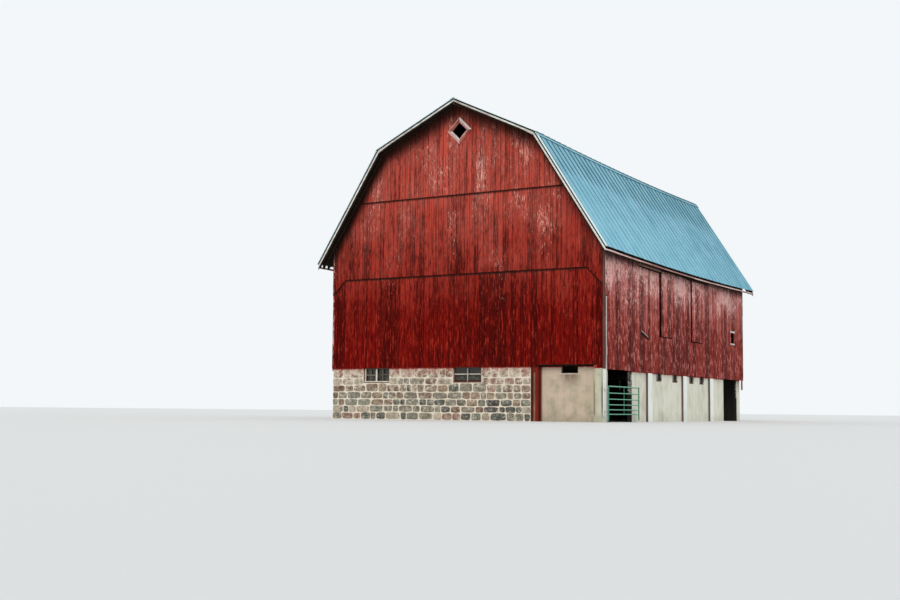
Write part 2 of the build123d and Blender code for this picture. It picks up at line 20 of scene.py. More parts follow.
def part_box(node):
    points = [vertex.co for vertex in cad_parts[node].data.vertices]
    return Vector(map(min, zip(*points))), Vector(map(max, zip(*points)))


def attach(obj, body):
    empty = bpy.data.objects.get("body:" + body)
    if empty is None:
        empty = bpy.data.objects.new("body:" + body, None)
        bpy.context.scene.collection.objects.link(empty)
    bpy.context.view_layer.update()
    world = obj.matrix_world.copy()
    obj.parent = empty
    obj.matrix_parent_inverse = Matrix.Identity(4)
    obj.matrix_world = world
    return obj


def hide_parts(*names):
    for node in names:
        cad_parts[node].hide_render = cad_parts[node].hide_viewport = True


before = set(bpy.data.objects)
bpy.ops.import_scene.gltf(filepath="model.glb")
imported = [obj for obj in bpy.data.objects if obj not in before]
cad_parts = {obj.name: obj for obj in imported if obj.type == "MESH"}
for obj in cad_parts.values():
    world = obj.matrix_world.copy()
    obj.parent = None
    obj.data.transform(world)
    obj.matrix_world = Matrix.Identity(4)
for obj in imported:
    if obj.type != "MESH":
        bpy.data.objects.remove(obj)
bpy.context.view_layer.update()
chance = random.Random(17)

# %% [markdown]
# ## Measures
#
# The boards, stones and sheets have to lie where the solids are, so the main lines of the building
# are read from the frame's boxes. Only what a box can't tell, such as a pitch, is a named value.

# %% Walls and floors
half_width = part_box("right_siding")[1].x
half_length = -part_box("front_siding_lower")[0].y
inner_half_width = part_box("right_siding")[0].x
inner_half_length = -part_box("front_siding_lower")[1].y
board_thickness = half_length - inner_half_length
foundation_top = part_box("front_stone_wall")[1].z
gable_foot = foundation_top - 0.03
bay_foot = foundation_top + 0.03
corner_foot = foundation_top - 0.115
side_foot = foundation_top - 0.14
bay_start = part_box("front_red_post")[1].x
corner_board_start = half_width - 0.245
print("walls", round(half_width, 3), round(half_length, 3), "basement top", round(foundation_top, 3))

# %% Roof lines
lower_rise = math.tan(math.radians(57.45))
upper_rise = math.tan(math.radians(25.55))
roof_sag = 0.095
sheet_metal = 0.006
deck_depth = 0.031
rafter_depth = 0.181
eave_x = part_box("roof_metal_lower")[1].x
break_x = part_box("roof_boards_upper_right")[1].x
eave_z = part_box("roof_metal_lower")[0].z + roof_sag + sheet_metal * math.hypot(1, lower_rise)
break_z = eave_z + (eave_x - break_x) * lower_rise
ridge_z = break_z + break_x * upper_rise
sheet_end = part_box("roof_metal_lower")[1].y
lower_seam = eave_z - 0.648
upper_seam = break_z - 2.057
diamond_z = ridge_z - 1.206
seam_cut = 0.64
cut_x = half_width - seam_cut
print("eave", round(eave_z, 3), "break", round(break_z, 3), "ridge", round(ridge_z, 3))


def sag(y):
    """How far the old roof has sunk at y."""
    return -roof_sag * max(0.0, 1 - (y / inner_half_length) ** 2)


def roof_z(x, depth=0.0):
    """Height of the roof at x on the gables, at a depth square to the slope under the metal."""
    lower = eave_z + (eave_x - abs(x)) * lower_rise - depth * math.hypot(1, lower_rise)
    upper = ridge_z - abs(x) * upper_rise - depth * math.hypot(1, upper_rise)
    return min(lower, upper)


# %% [markdown]
# ## Shapes
#
# Boards, stones, sheets and beads of weld have one thing in common: each is a row of rings joined by
# faces. One small class collects such lofts for a whole piece. With every point it keeps a mark of
# four numbers, which the shaders read back as tone, place across and chance, or as a stone's colour.

# %% A collector of lofts
class Shape:
    """Points, faces and marks of one piece."""

    def __init__(self):
        self.points = []
        self.faces = []
        self.marks = []
        self.kinds = []

    def loft(self, rings, marks, kind=0):
        """Joins rings of equal length and closes both ends.

        marks holds one mark for each point of a ring, or only one. kind is the material's number."""
        start, count = len(self.points), len(rings[0])
        ring_marks = marks if len(marks) == count else list(marks) * count
        for ring in rings:
            self.points += [tuple(point) for point in ring]
            self.marks += ring_marks
        before = len(self.faces)
        for row in range(len(rings) - 1):
            base = start + row * count
            for i in range(count):
                j = (i + 1) % count
                self.faces.append((base + i, base + j, base + count + j, base + count + i))
        self.faces.append(tuple(range(start, start + count))[::-1])
        self.faces.append(tuple(range(len(self.points) - count, len(self.points))))
        self.kinds += [kind] * (len(self.faces) - before)


def piece(name, shape, materials, body="barn", replaces=(), smooth=False):
    """Makes the mesh of a shape and says which body it rides on and what it stands for."""
    mesh = bpy.data.meshes.new(name)
    mesh.from_pydata(shape.points, [], shape.faces)
    for finish in materials:
        mesh.materials.append(finish)
    mesh.polygons.foreach_set("material_index", shape.kinds)
    mesh.polygons.foreach_set("use_smooth", [smooth] * len(shape.faces))
    layer = mesh.attributes.new("mark", "FLOAT_COLOR", "POINT")
    layer.data.foreach_set("color", np.array(shape.marks, np.float32).ravel())
    edit = bmesh.new()
    edit.from_mesh(mesh)
    bmesh.ops.recalc_face_normals(edit, faces=edit.faces)
    edit.to_mesh(mesh)
    edit.free()
    made = bpy.data.objects.new(name, mesh)
    bpy.context.scene.collection.objects.link(made)
    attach(made, body)
    if replaces:
        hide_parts(*replaces)
    print(name, len(shape.faces), "faces")


# %% [markdown]
# ## Places on a wall
#
# A board on the gable and one on the long wall differ only in where they stand. A wall therefore
# turns three numbers, along, out and up, into a point. Lofts written with it work on all four
# sides.

# %% The four sides
class Side:
    """One side of the building: places are given along it, out from its face, and up."""

    def __init__(self, across_gable, sign, face):
        self.across_gable = across_gable
        self.sign = sign
        self.face = face

    def at(self, along, out, up):
        """The point at those three distances."""
        outward = self.sign * (self.face + out)
        return (along, outward, up) if self.across_gable else (outward, along, up)


gables = {"front": Side(True, -1, inner_half_length), "rear": Side(True, 1, inner_half_length)}
long_sides = {"left": Side(False, -1, inner_half_width), "right": Side(False, 1, inner_half_width)}
print("walls", *gables, *long_sides)

# %% [markdown]
# ## Shader helpers
#
# A procedural finish is a graph of nodes. These helpers add one node each and join its sockets: a
# socket is linked, and a plain number is set. Each Math node could be added by name too, but sums
# are easier to read as sums, so a number in the graph is wrapped and takes the usual signs. Effects
# that several finishes share become node groups: grain or grime is worked out once, and only its
# values change.

# %% Numbers in a graph
def operation(name, turned=False):
    """A method that adds a Math node, with its two numbers turned round or not."""
    def method(self, other=0.5):
        """The value itself and the other number, in a Math node."""
        first, second = (other, self) if turned else (self, other)
        return self.graph.math(name, first, second)
    return method


class Value:
    """A number in a graph. A sign between two of them, or one and a plain number, adds a Math node."""

    def __init__(self, graph, socket):
        self.graph = graph
        self.socket = socket

    __add__ = operation("ADD")
    __sub__ = operation("SUBTRACT")
    __rsub__ = operation("SUBTRACT", turned=True)
    __mul__ = operation("MULTIPLY")
    __truediv__ = operation("DIVIDE")
    __rtruediv__ = operation("DIVIDE", turned=True)
    __gt__ = operation("GREATER_THAN")
    __lt__ = operation("LESS_THAN")
    __abs__ = operation("ABSOLUTE")


def values(graph, sockets):
    """Sockets as values, by name."""
    return {socket.name: Value(graph, socket) for socket in sockets}


# %% Adding nodes
class Graph:
    """Adds nodes to one tree."""

    def __init__(self, tree):
        self.tree = tree

    def feed(self, socket, value):
        """Links a socket, or sets a plain value on it."""
        if isinstance(value, Value):
            value = value.socket
        if isinstance(value, bpy.types.NodeSocket):
            self.tree.links.new(value, socket)
        elif value is not None:
            socket.default_value = value

    def add(self, kind, settings=(), **inputs):
        """One node, with its settings and its inputs by name."""
        made = self.tree.nodes.new("ShaderNode" + kind)
        for name, value in dict(settings).items():
            setattr(made, name, value)
        for name, value in inputs.items():
            self.feed(made.inputs[name.replace("_", " ")], value)
        return made

    def math(self, name, a, b=0.5):
        """The Math node of that name on two numbers."""
        made = self.add("Math", {"operation": name})
        self.feed(made.inputs[0], a)
        self.feed(made.inputs[1], b)
        return Value(self, made.outputs[0])

    def larger(self, a, b):
        """The larger one."""
        return self.math("MAXIMUM", a, b)

    def mix(self, a, b, share):
        """Two colours blended by a share."""
        made = self.add("Mix", {"data_type": "RGBA"})
        self.feed(made.inputs[0], share)
        self.feed(made.inputs[6], a)
        self.feed(made.inputs[7], b)
        return made.outputs[2]

    def parts(self, vector):
        """The X, Y and Z of a vector."""
        return values(self, self.add("SeparateXYZ", Vector=vector).outputs)

    def facing(self, axis):
        """How squarely the surface looks along an axis, from -1 to 1."""
        return self.parts(self.add("NewGeometry").outputs["Normal"])[axis]

    def stretch(self, vector, scale, shift=None):
        """A position scaled by three factors, so that noise on it runs along the grain."""
        made = self.add("Mapping", {"vector_type": "POINT"}, Vector=vector, Scale=scale, Location=shift)
        return made.outputs[0]

    def jump(self, own, reach):
        """A shift that differs from board to board, from the board's own chance number."""
        off = own * reach
        return self.add("CombineXYZ", X=off, Y=off, Z=off).outputs[0]

    def noise(self, vector, scale=1.0, detail=3.0, rough=0.55):
        """Soft noise between 0 and 1."""
        made = self.add("TexNoise", Vector=vector, Scale=scale, Detail=detail, Roughness=rough)
        return Value(self, made.outputs["Fac"])

    def streaks(self, vector, scale, detail, rough=0.55, shift=None):
        """Noise that is stretched by three factors."""
        return self.noise(self.stretch(vector, scale, shift), 1.0, detail, rough)

    def span(self, value, low, high, start=0.0, end=1.0, smooth=True):
        """A value eased from one range into another, and held at its ends."""
        made = self.add("MapRange", {"interpolation_type": "SMOOTHSTEP" if smooth else "LINEAR"})
        for socket, number in zip(made.inputs[:5], (value, low, high, start, end)):
            self.feed(socket, number)
        return Value(self, made.outputs[0])


# %% Node groups
def effect(name, inputs, outputs):
    """A node group that takes a position and named numbers, with the graph and the ends to fill it."""
    tree = bpy.data.node_groups.new(name, "ShaderNodeTree")
    tree.interface.new_socket("Position", in_out="INPUT", socket_type="NodeSocketVector")
    for way, labels in (("INPUT", inputs), ("OUTPUT", outputs)):
        for label in labels:
            tree.interface.new_socket(label, in_out=way, socket_type="NodeSocketFloat")
    print("effect", name, "gives", ", ".join(outputs))
    graph = Graph(tree)
    given = values(graph, tree.nodes.new("NodeGroupInput").outputs)
    return graph, given, tree.nodes.new("NodeGroupOutput").inputs


def place(graph, group, **inputs):
    """Places an effect in a material's graph and returns its outputs."""
    made = graph.tree.nodes.new("ShaderNodeGroup")
    made.node_tree = group
    for name, value in inputs.items():
        graph.feed(made.inputs[name.replace("_", " ")], value)
    return values(graph, made.outputs)


# %% [markdown]
# ## Effect: wood grain
#
# Sawn boards show long streaks of early and late wood with fine fibres in them. Noise stretched
# about fifty to one along the board gives both. The board's own chance number shifts it, so that
# streaks stop at each joint, as they do on the real wall.

# %% Wood grain group
def build_grain():
    """Streaks and fibres that run along Z, with a height for the bump."""
    graph, given, result = effect("wood_grain", ["Chance"], ["Streaks", "Fibres", "Height"])
    shift = graph.jump(given["Chance"], 40.0)
    streaks = graph.streaks(given["Position"], (17.0, 17.0, 0.42), 5.0, 0.6, shift=shift)
    fibres = graph.streaks(given["Position"], (120.0, 120.0, 2.2), 3.0, 0.6, shift=shift)
    graph.feed(result["Streaks"], streaks)
    graph.feed(result["Fibres"], fibres)
    graph.feed(result["Height"], streaks * 0.6 + fibres * 0.4)
    return graph.tree


wood_grain = build_grain()

# %% [markdown]
# ## Effect: rain wear
#
# Barn paint goes in runs: rain strips it in long narrow flecks that come in clusters, and what is
# left turns chalky. A broad noise picks the clusters and a narrow stretched one the flecks inside
# them, so the wear is patchy at both scales.

# %% Rain wear group
def build_wear():
    """A mask of bare flecks, for a wear between 0 and 1."""
    graph, given, result = effect("rain_wear", ["Wear", "Chance"], ["Flecks", "Haze", "Grit"])
    shift = graph.jump(given["Chance"], 7.0)
    clusters = graph.streaks(given["Position"], (0.9, 0.9, 0.45), 3.0, 0.6)
    runs = graph.streaks(given["Position"], (26.0, 26.0, 5.5), 5.0, 0.72, shift=shift)
    grit = graph.streaks(given["Position"], (13.0, 13.0, 2.4), 4.0, 0.7, shift=shift)
    field = clusters * 0.6 + runs * 0.8 + given["Wear"] * 0.3
    graph.feed(result["Flecks"], graph.span(field, 0.93, 1.02))
    graph.feed(result["Haze"], graph.span(field, 0.62, 1.05))
    graph.feed(result["Grit"], grit)
    return graph.tree


rain_wear = build_wear()

# %% [markdown]
# ## Effect: mottle and pits
#
# Stone, mortar, concrete and old metal are never one even tone. Mottle is a cloudy noise at two
# sizes, and pits are small cells that take a little off the height. Both only need a position and
# a size.

# %% Mottle and pits group
def build_mottle():
    """Cloudy tone, fine speckle and a pitted height, at a given size."""
    graph, given, result = effect("mottle", ["Size"], ["Cloud", "Speckle", "Height"])
    scale = 1.0 / given["Size"]
    cloud = graph.noise(given["Position"], scale, 5.0, 0.6)
    speckle = graph.noise(given["Position"], scale * 14.0, 3.0, 0.7)
    cells = graph.add("TexVoronoi", {"feature": "F1"}, Vector=given["Position"], Scale=scale * 9.0)
    pits = Value(graph, cells.outputs["Distance"])
    graph.feed(result["Cloud"], cloud)
    graph.feed(result["Speckle"], speckle)
    graph.feed(result["Height"], pits * 0.5 + speckle * 0.6)
    return graph.tree


mottle = build_mottle()

# %% [markdown]
# ## Effect: paint overspray
#
# The barn was sprayed red long after the basement was built, and the mist coloured the top of the
# masonry. The mask fades down from a given height with a ragged lower edge. Drift adds the thin,
# patchy mist that reached further down.

# %% Overspray group
def build_overspray():
    """A mask that is full at a level and gone a little way under it."""
    graph, given, result = effect("overspray", ["Level", "Depth", "Drift"], ["Mask"])
    height = graph.parts(given["Position"])["Z"]
    ragged = graph.streaks(given["Position"], (9.0, 9.0, 4.0), 4.0, 0.7)
    under = given["Level"] - height
    share = under / (given["Depth"] * ragged)
    near = graph.span(share, 0.75, 1.5, 1.0, 0.0)
    patches = graph.span(graph.noise(given["Position"], 7.0, 4.0, 0.7), 0.42, 0.62, 0.1, 1.0)
    wide = graph.span(share * 0.28, 0.3, 1.3, 1.0, 0.0) * patches * given["Drift"]
    graph.feed(result["Mask"], graph.larger(near, wide))
    return graph.tree


overspray = build_overspray()

# %% [markdown]
# ## Effect: painted shade on inside faces
#
# Behind the walls every face is painted brown black, as painted shade for the dark basement. The
# CAD walls are one solid each, so the mask asks only whether a point lies inside the outer faces.

# %% Inside mask group
side_wall_depth, end_wall_depth = 0.21, 0.3


def build_inside():
    """A mask of painted shade that is full on the faces that look into the basement."""
    graph, given, result = effect("inside", [], ["Mask"])
    parts = graph.parts(given["Position"])
    past_x = graph.span(abs(parts["X"]), half_width - side_wall_depth,
                        half_width - side_wall_depth - 0.07)
    past_y = graph.span(abs(parts["Y"]), half_length - end_wall_depth,
                        half_length - end_wall_depth - 0.12)
    graph.feed(result["Mask"], past_x * past_y)
    return graph.tree


inside = build_inside()

# %% [markdown]
# ## A start for each material
#
# Every finish starts in the same way: one Principled shader, the place on the object, and the mark
# that the shape left there. Writing that once keeps the finishes down to what sets them apart.

# %% Material, marks, surface and bump
def material(name):
    """A new material with its graph, its shader, and the position and mark of the surface."""
    made = bpy.data.materials.new(name)
    made.use_nodes = True
    graph = Graph(made.node_tree)
    shader = made.node_tree.nodes["Principled BSDF"]
    print("finish", name)
    return made, graph, shader, graph.add("TexCoord").outputs["Object"]


def marks(graph):
    """Tone, place across and chance, as the shape's marks hold them."""
    read = graph.add("Attribute", {"attribute_name": "mark"})
    return values(graph, graph.add("SeparateColor", Color=read.outputs["Color"]).outputs).values()


def surface(graph, shader, colour, roughness, shine=0.5):
    """Feeds a finish's colour, roughness and shine into its shader."""
    for name, value in (("Base Color", colour), ("Roughness", roughness), ("Specular IOR Level", shine)):
        graph.feed(shader.inputs[name], value)


def bump(graph, shader, height, strength, distance):
    """Feeds a height into the shader's normal."""
    made = graph.add("Bump", Strength=strength, Distance=distance, Height=height)
    graph.feed(shader.inputs["Normal"], made.outputs["Normal"])


# %% [markdown]
# ## Finish: worn barn paint
#
# The gable has kept most of its oxide red: darkest and richest near the ground, where the roof
# keeps the rain off longest, and paler with whitish flecks towards the peak. The long wall takes
# the weather, so its red is dull and pink. One function makes both, from a few colours and the
# heights between which the wear grows.

# %% Painted shade and dirt under laps and eaves
print("grime under laps at", round(lower_seam, 3), round(upper_seam, 3), "and under", round(eave_z, 3))


def gable_painted_shade_and_dirt(graph, position):
    """Painted shade and dirt under the two laps of the gable, and painted shade close under the roof."""
    parts = graph.parts(position)
    off_middle = abs(parts["X"])
    turn = graph.larger(off_middle - cut_x, 0.0)
    laps = []
    for line in (lower_seam - turn, upper_seam):
        under = line - parts["Z"]
        fade = graph.span(under, 0.03, 0.13, 1.0, 0.0)
        laps.append(fade * (under > -0.001))
    lower = eave_z + eave_x * lower_rise - off_middle * lower_rise
    upper = ridge_z - off_middle * upper_rise
    ragged = graph.streaks(position, (3.0, 3.0, 0.8), 3.0)
    room = graph.math("MINIMUM", lower, upper) - parts["Z"] - ragged * 0.5
    shade = graph.span(room, -0.05, 0.75, 0.9, 0.0)
    return graph.larger(shade, graph.larger(*laps) * 0.92)


def side_painted_shade_and_dirt(graph, position):
    """Painted shade and dirt along the top of a long wall, under the eave."""
    height = graph.parts(position)["Z"]
    ragged = graph.streaks(position, (7.0, 7.0, 1.0), 3.0)
    lifted = height + (ragged - 0.5) * 0.5
    return graph.span(lifted, eave_z - 0.52, eave_z - 0.12, 0.0, 0.9)


# %% Barn paint
def barn_paint(name, colours, wear, haze, levels, contrast, shade_and_dirt, coarse=(1.0, 1.0, 1.0), bare_edge=False):
    """Red boards whose paint is worn more towards the top.

    colours are low, high, dark, bare and fresh. wear, haze, levels and contrast are (low, high) pairs,
    and contrast is how much the boards differ. coarse stretches grain and wear. With bare_edge
    the board at the left corner is worn all the way down."""
    low_colour, high_colour, dark_colour, bare_colour, fresh = colours
    made, graph, shader, position = material(name)
    tone, across, chance_mark = marks(graph)
    coarser = graph.stretch(position, coarse)
    grain = place(graph, wood_grain, Position=coarser, Chance=chance_mark)
    height = graph.parts(position)["Z"]
    clouds = graph.streaks(position, (0.5, 0.5, 0.7), 4.0, 0.6)
    own = tone - 0.5
    lifted = height + (clouds - 0.5) * 3.4 + own * contrast[0]
    climb = graph.span(lifted, levels[0], levels[1])
    amount = graph.span(climb, 0.0, 1.0, wear[0], wear[1], smooth=False)
    if bare_edge:
        edge = graph.span(graph.parts(position)["X"], 0.13 - half_width, 0.06 - half_width, 0.0, 0.8)
        amount = graph.larger(amount, edge)
    worn = place(graph, rain_wear, Position=coarser, Chance=chance_mark, Wear=amount)
    paint = graph.mix(low_colour, high_colour, climb)
    aged = graph.span(chance_mark, 0.72, 0.95, 0.0, 0.3) * climb
    paint = graph.mix(paint, (0.15, 0.05, 0.038, 1), aged)
    spread = own * graph.span(climb, 0.0, 1.0, contrast[0], contrast[1])
    board_tone = spread + 0.25 + grain["Streaks"] * 0.9
    paint = graph.mix(paint, dark_colour, graph.span(board_tone, 0.82, 0.5, 0.0, 0.85))
    chalky = worn["Haze"] * graph.span(climb, 0.0, 1.0, haze[0], haze[1])
    chalky *= graph.span(chance_mark, 0.0, 1.0, 1.4, 0.6)
    paint = graph.mix(paint, bare_colour, chalky)
    pitted = graph.span(worn["Grit"], 0.5, 0.34) * graph.span(climb, 0.0, 1.0, 0.85, 0.55)
    paint = graph.mix(paint, dark_colour, pitted)
    fresh_grit = graph.mix(fresh, high_colour, climb)
    paint = graph.mix(paint, fresh_grit, graph.span(worn["Grit"], 0.53, 0.64, 0.0, 0.75))
    paint = graph.mix(paint, bare_colour, worn["Flecks"] * 0.85)
    # Painted shade in the joints: both edges of each board are darker.
    off_middle = abs(across - 0.5)
    paint = graph.mix(paint, dark_colour, graph.span(off_middle, 0.44, 0.5, 0.0, 0.6))
    # Near-black painted shade and dirt under the laps and along the eave.
    paint = graph.mix(paint, (0.018, 0.008, 0.006, 1), shade_and_dirt(graph, position))
    surface(graph, shader, paint, graph.span(worn["Haze"], 0.0, 1.0, 0.66, 0.92), 0.05)
    bump(graph, shader, grain["Height"], 0.55, 0.012)
    return made


gable_paint = ((0.185, 0.003, 0.001, 1), (0.555, 0.062, 0.037, 1), (0.045, 0.001, 0.0005, 1),
               (0.86, 0.42, 0.34, 1), (0.38, 0.028, 0.014, 1))
side_paint = ((0.29, 0.026, 0.017, 1), (0.6, 0.13, 0.105, 1), (0.075, 0.006, 0.004, 1),
              (0.95, 0.56, 0.52, 1), (0.74, 0.26, 0.22, 1))
gable_red = barn_paint("gable_red", gable_paint, (0.14, 0.55), (0.0, 0.18), (3.2, 10.4), (0.4, 0.08),
                       gable_painted_shade_and_dirt, bare_edge=True)
side_red = barn_paint("side_red", side_paint, (0.22, 1.0), (0.06, 0.24), (3.2, 6.4), (0.7, 0.45),
                      side_painted_shade_and_dirt, (0.5, 0.5, 1.1))

# %% [markdown]
# ## Finish: bare and aged wood
#
# The frame inside is brown rough-sawn softwood. Trim that has lost its paint is silver grey with
# dark checks. The grain is the same, so one function takes two colours and the size of the bump.

# %% Bare wood
def bare_wood(name, pale, dark, depth=0.008, along="Z", shine=0.15):
    """Unpainted wood between two colours, with its grain along one axis."""
    made, graph, shader, position = material(name)
    tone, _, chance_mark = marks(graph)
    parts = graph.parts(position)
    order = {"X": "ZYX", "Y": "XZY", "Z": "XYZ"}[along]
    position = graph.add("CombineXYZ", X=parts[order[0]], Y=parts[order[1]], Z=parts[order[2]]).outputs[0]
    grain = place(graph, wood_grain, Position=position, Chance=chance_mark)
    stained = place(graph, mottle, Position=position, Size=0.7)
    share = grain["Streaks"] * 0.7 + stained["Cloud"] * 0.5 + tone * 0.25
    colour = graph.mix(pale, dark, graph.span(share, 0.45, 0.95))
    checks = graph.span(grain["Fibres"], 0.62, 0.72, 0.0, 0.5)
    surface(graph, shader, graph.mix(colour, dark, checks), 0.88, shine)
    bump(graph, shader, grain["Height"], 0.6, depth)
    return made


old_brown = ((0.11, 0.072, 0.045, 1), (0.03, 0.019, 0.012, 1))
# The soffit brown is near-black: it is the old wood of the rafters and roof boards and painted shade in one,
# and it also makes the painted shade strips under the rakes, the eaves and the askew board.
soffit_and_shade_brown = ((0.035, 0.024, 0.018, 1), (0.009, 0.006, 0.005, 1))
frame_wood = {axis: bare_wood(f"frame_wood_{axis.lower()}", *old_brown, along=axis) for axis in "XYZ"}
soffit_and_shade_wood = {axis: bare_wood(f"soffit_and_shade_wood_{axis.lower()}", *soffit_and_shade_brown, along=axis, shine=0.0)
               for axis in "XY"}
rake_wood = bare_wood("rake_wood", (0.86, 0.84, 0.78, 1), (0.42, 0.36, 0.32, 1), 0.006, "X")
eave_wood = bare_wood("eave_wood", (0.92, 0.68, 0.63, 1), (0.38, 0.19, 0.16, 1), 0.006, "Y")
strip_wood = bare_wood("strip_wood", (0.88, 0.85, 0.78, 1), (0.5, 0.38, 0.34, 1), 0.006)
pink_trim = bare_wood("pink_trim", (0.72, 0.42, 0.38, 1), (0.34, 0.1, 0.09, 1), 0.006)
corner_wood = bare_wood("corner_wood", (0.34, 0.19, 0.15, 1), (0.12, 0.045, 0.035, 1), 0.006)

# %% [markdown]
# ## Finish: field stone and mortar
#
# Each stone has its own colour, which the shape's marks carry. The shader only adds what all of
# them share: a granite speckle, soft clouds and a rough face. The mortar is pale lime with sand
# in it. Both take the red mist along the top.

# %% Stone face
mist_red = (0.4, 0.045, 0.035, 1)
lime = (0.74, 0.66, 0.51, 1)


def field_stone(name):
    """Split stones, each in the colour of its mark."""
    made, graph, shader, position = material(name)
    own = graph.add("Attribute", {"attribute_name": "mark"}).outputs["Color"]
    rough = place(graph, mottle, Position=position, Size=0.16)
    light = rough["Speckle"] * 0.9 + rough["Cloud"] * 0.5
    pale = graph.mix(own, (0.66, 0.57, 0.47, 1), graph.span(light, 0.66, 0.98, 0.0, 0.75))
    colour = graph.mix(pale, (0.035, 0.028, 0.018, 1), graph.span(light, 0.7, 0.46, 0.0, 0.7))
    grains = graph.noise(position, 8.0, 5.0, 0.82)
    colour = graph.mix(colour, (0.06, 0.045, 0.024, 1), graph.span(grains, 0.49, 0.36, 0.0, 0.85))
    colour = graph.mix(colour, (0.8, 0.73, 0.58, 1), graph.span(grains, 0.54, 0.66, 0.0, 0.8))
    height = graph.parts(position)["Z"]
    smeared = graph.noise(position, 6.5, 5.0, 0.72) + graph.span(height, 0.6, 2.1, -0.02, 0.13)
    colour = graph.mix(colour, lime, graph.span(smeared, 0.56, 0.68, 0.0, 0.85))
    sprayed = place(graph, overspray, Position=position, Level=foundation_top + 0.025, Depth=0.2, Drift=0.55)
    surface(graph, shader, graph.mix(colour, mist_red, sprayed["Mask"]), 0.88)
    bump(graph, shader, rough["Height"], 0.8, 0.02)
    return made


# %% Mortar and poured concrete
def masonry(name, pale, dark, size, depth, mist, low_stain=0.0, stain=None,
            stain_colour=(0.13, 0.075, 0.045, 1), side_colour=None):
    """Mortar or poured concrete: cloudy, pitted, darker near the ground and misted at the top.

    mist is the level, depth and drift of the red mist. stain is a function of the graph and the position
    that gives one more mask. side_colour is for the faces that look along X."""
    made, graph, shader, position = material(name)
    cast = place(graph, mottle, Position=position, Size=size)
    runs = graph.streaks(position, (3.2, 3.2, 0.35), 4.0, 0.62)
    share = cast["Cloud"] * 0.6 + runs * 0.5
    if side_colour:
        pale = graph.mix(pale, side_colour, graph.facing("X") > 0.6)
    colour = graph.mix(pale, dark, graph.span(share, 0.46, 0.82))
    height = graph.parts(position)["Z"]
    damp = height - cast["Cloud"]
    colour = graph.mix(colour, (0.2, 0.19, 0.13, 1), graph.span(damp, 0.1, -0.5, 0.0, low_stain))
    colour = graph.mix(colour, dark, graph.span(cast["Speckle"], 0.58, 0.72, 0.0, 0.45))
    if stain:
        colour = graph.mix(colour, stain_colour, stain(graph, position))
    sprayed = place(graph, overspray, Position=position, Level=mist[0], Depth=mist[1], Drift=mist[2])
    colour = graph.mix(colour, mist_red, sprayed["Mask"])
    # Faces inside the basement turn near-black: painted shade.
    inside_shade = place(graph, inside, Position=position)
    surface(graph, shader, graph.mix(colour, (0.02, 0.016, 0.012, 1), inside_shade["Mask"]), 0.9, 0.3)
    bump(graph, shader, cast["Height"], 0.5, depth)
    return made


# %% [markdown]
# ## Stains and painted shade on the concrete
#
# Poured concrete is known by where water and stock have touched it: a rusty run under the vent and
# dirt on the ends of the panels. The masks also paint shade beside the post and the pier, and at the
# pier's edges. Each is a small function that gives one mask, so that a wall's finish can take the one it
# needs.

# %% Stain masks
vent_start, vent_end, vent_foot = 4.295, 4.995, 1.785
pier_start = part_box("near_corner_pier")[0].x
print("vent", vent_start, "to", vent_end, "and pier from", round(pier_start, 3))


def near(graph, value, place_at, reach):
    """A mask that is full at a place and gone past a reach from it."""
    off = abs(value - place_at)
    return graph.span(off, 0.0, reach, 1.0, 0.0)


def vent_run_and_shade(graph, position):
    """The rusty run under the vent and the faint lines that the form boards left, with painted shade at the
    bay's ends beside the post and the pier.
    """
    parts = graph.parts(position)
    wide = near(graph, parts["X"], (vent_start + vent_end) / 2, 0.62)
    ragged = graph.streaks(position, (11.0, 11.0, 1.1), 4.0, 0.65)
    below = vent_foot - parts["Z"]
    run = graph.span(below, 0.0, 0.6, 1.0, 0.0) * graph.span(ragged, 0.25, 0.55)
    run *= wide * (below > 0.02)
    lines = graph.math("PINGPONG", parts["Z"] + 0.03, 0.115)
    lines = graph.span(lines, 0.0, 0.012, 0.16, 0.0) * graph.span(ragged, 0.42, 0.6)
    left = near(graph, parts["X"], bay_start + 0.05, 0.09) * 0.9
    low = graph.span(parts["Z"], 1.9, 1.4, 0.35, 1.0)
    right = near(graph, parts["X"], pier_start, 0.09) * low
    marked = graph.larger(run * 0.85, lines)
    return graph.larger(marked, graph.larger(left, right))


def pier_runs_and_shade(graph, position):
    """Dark runs and painted shade down both edges of the corner pier's front, and a painted shadow at its top
    under the boards.
    """
    parts = graph.parts(position)
    ragged = graph.span(graph.streaks(position, (5.0, 5.0, 0.5), 3.0), 0.3, 0.5, 0.5, 1.0)
    low = graph.span(parts["Z"], 1.75, 1.1, 0.35, 1.0) * graph.span(parts["Z"], 0.1, 0.4)
    edges = graph.larger(near(graph, parts["X"], pier_start, 0.07),
                         near(graph, parts["X"], half_width - 0.02, 0.075))
    runs = edges * ragged * low
    # Painted shadow: the pier's top corner under the hanging boards is dark.
    under = (parts["X"] < pier_start + 0.105) * (parts["Z"] > 2.035)
    return graph.larger(runs, under) * (parts["Y"] < 0.002 - half_length)


def jamb_dirt(graph, position):
    """Dark dirt low on the ends of the wall panels, which cattle rub past, and patches above it."""
    height = graph.parts(position)["Z"]
    patches = graph.span(graph.streaks(position, (7.0, 7.0, 5.0), 3.0, 0.7), 0.46, 0.56, 0.1, 0.9)
    dirt = graph.larger(graph.span(height, 1.2, 1.1), patches)
    return (graph.facing("Y") < -0.6) * dirt


def shaded_side(graph, position):
    """The face of a pilaster that looks away from the weather, dark with old red paint."""
    return graph.span(graph.facing("Y"), -0.3, -0.7, 0.0, 0.92)


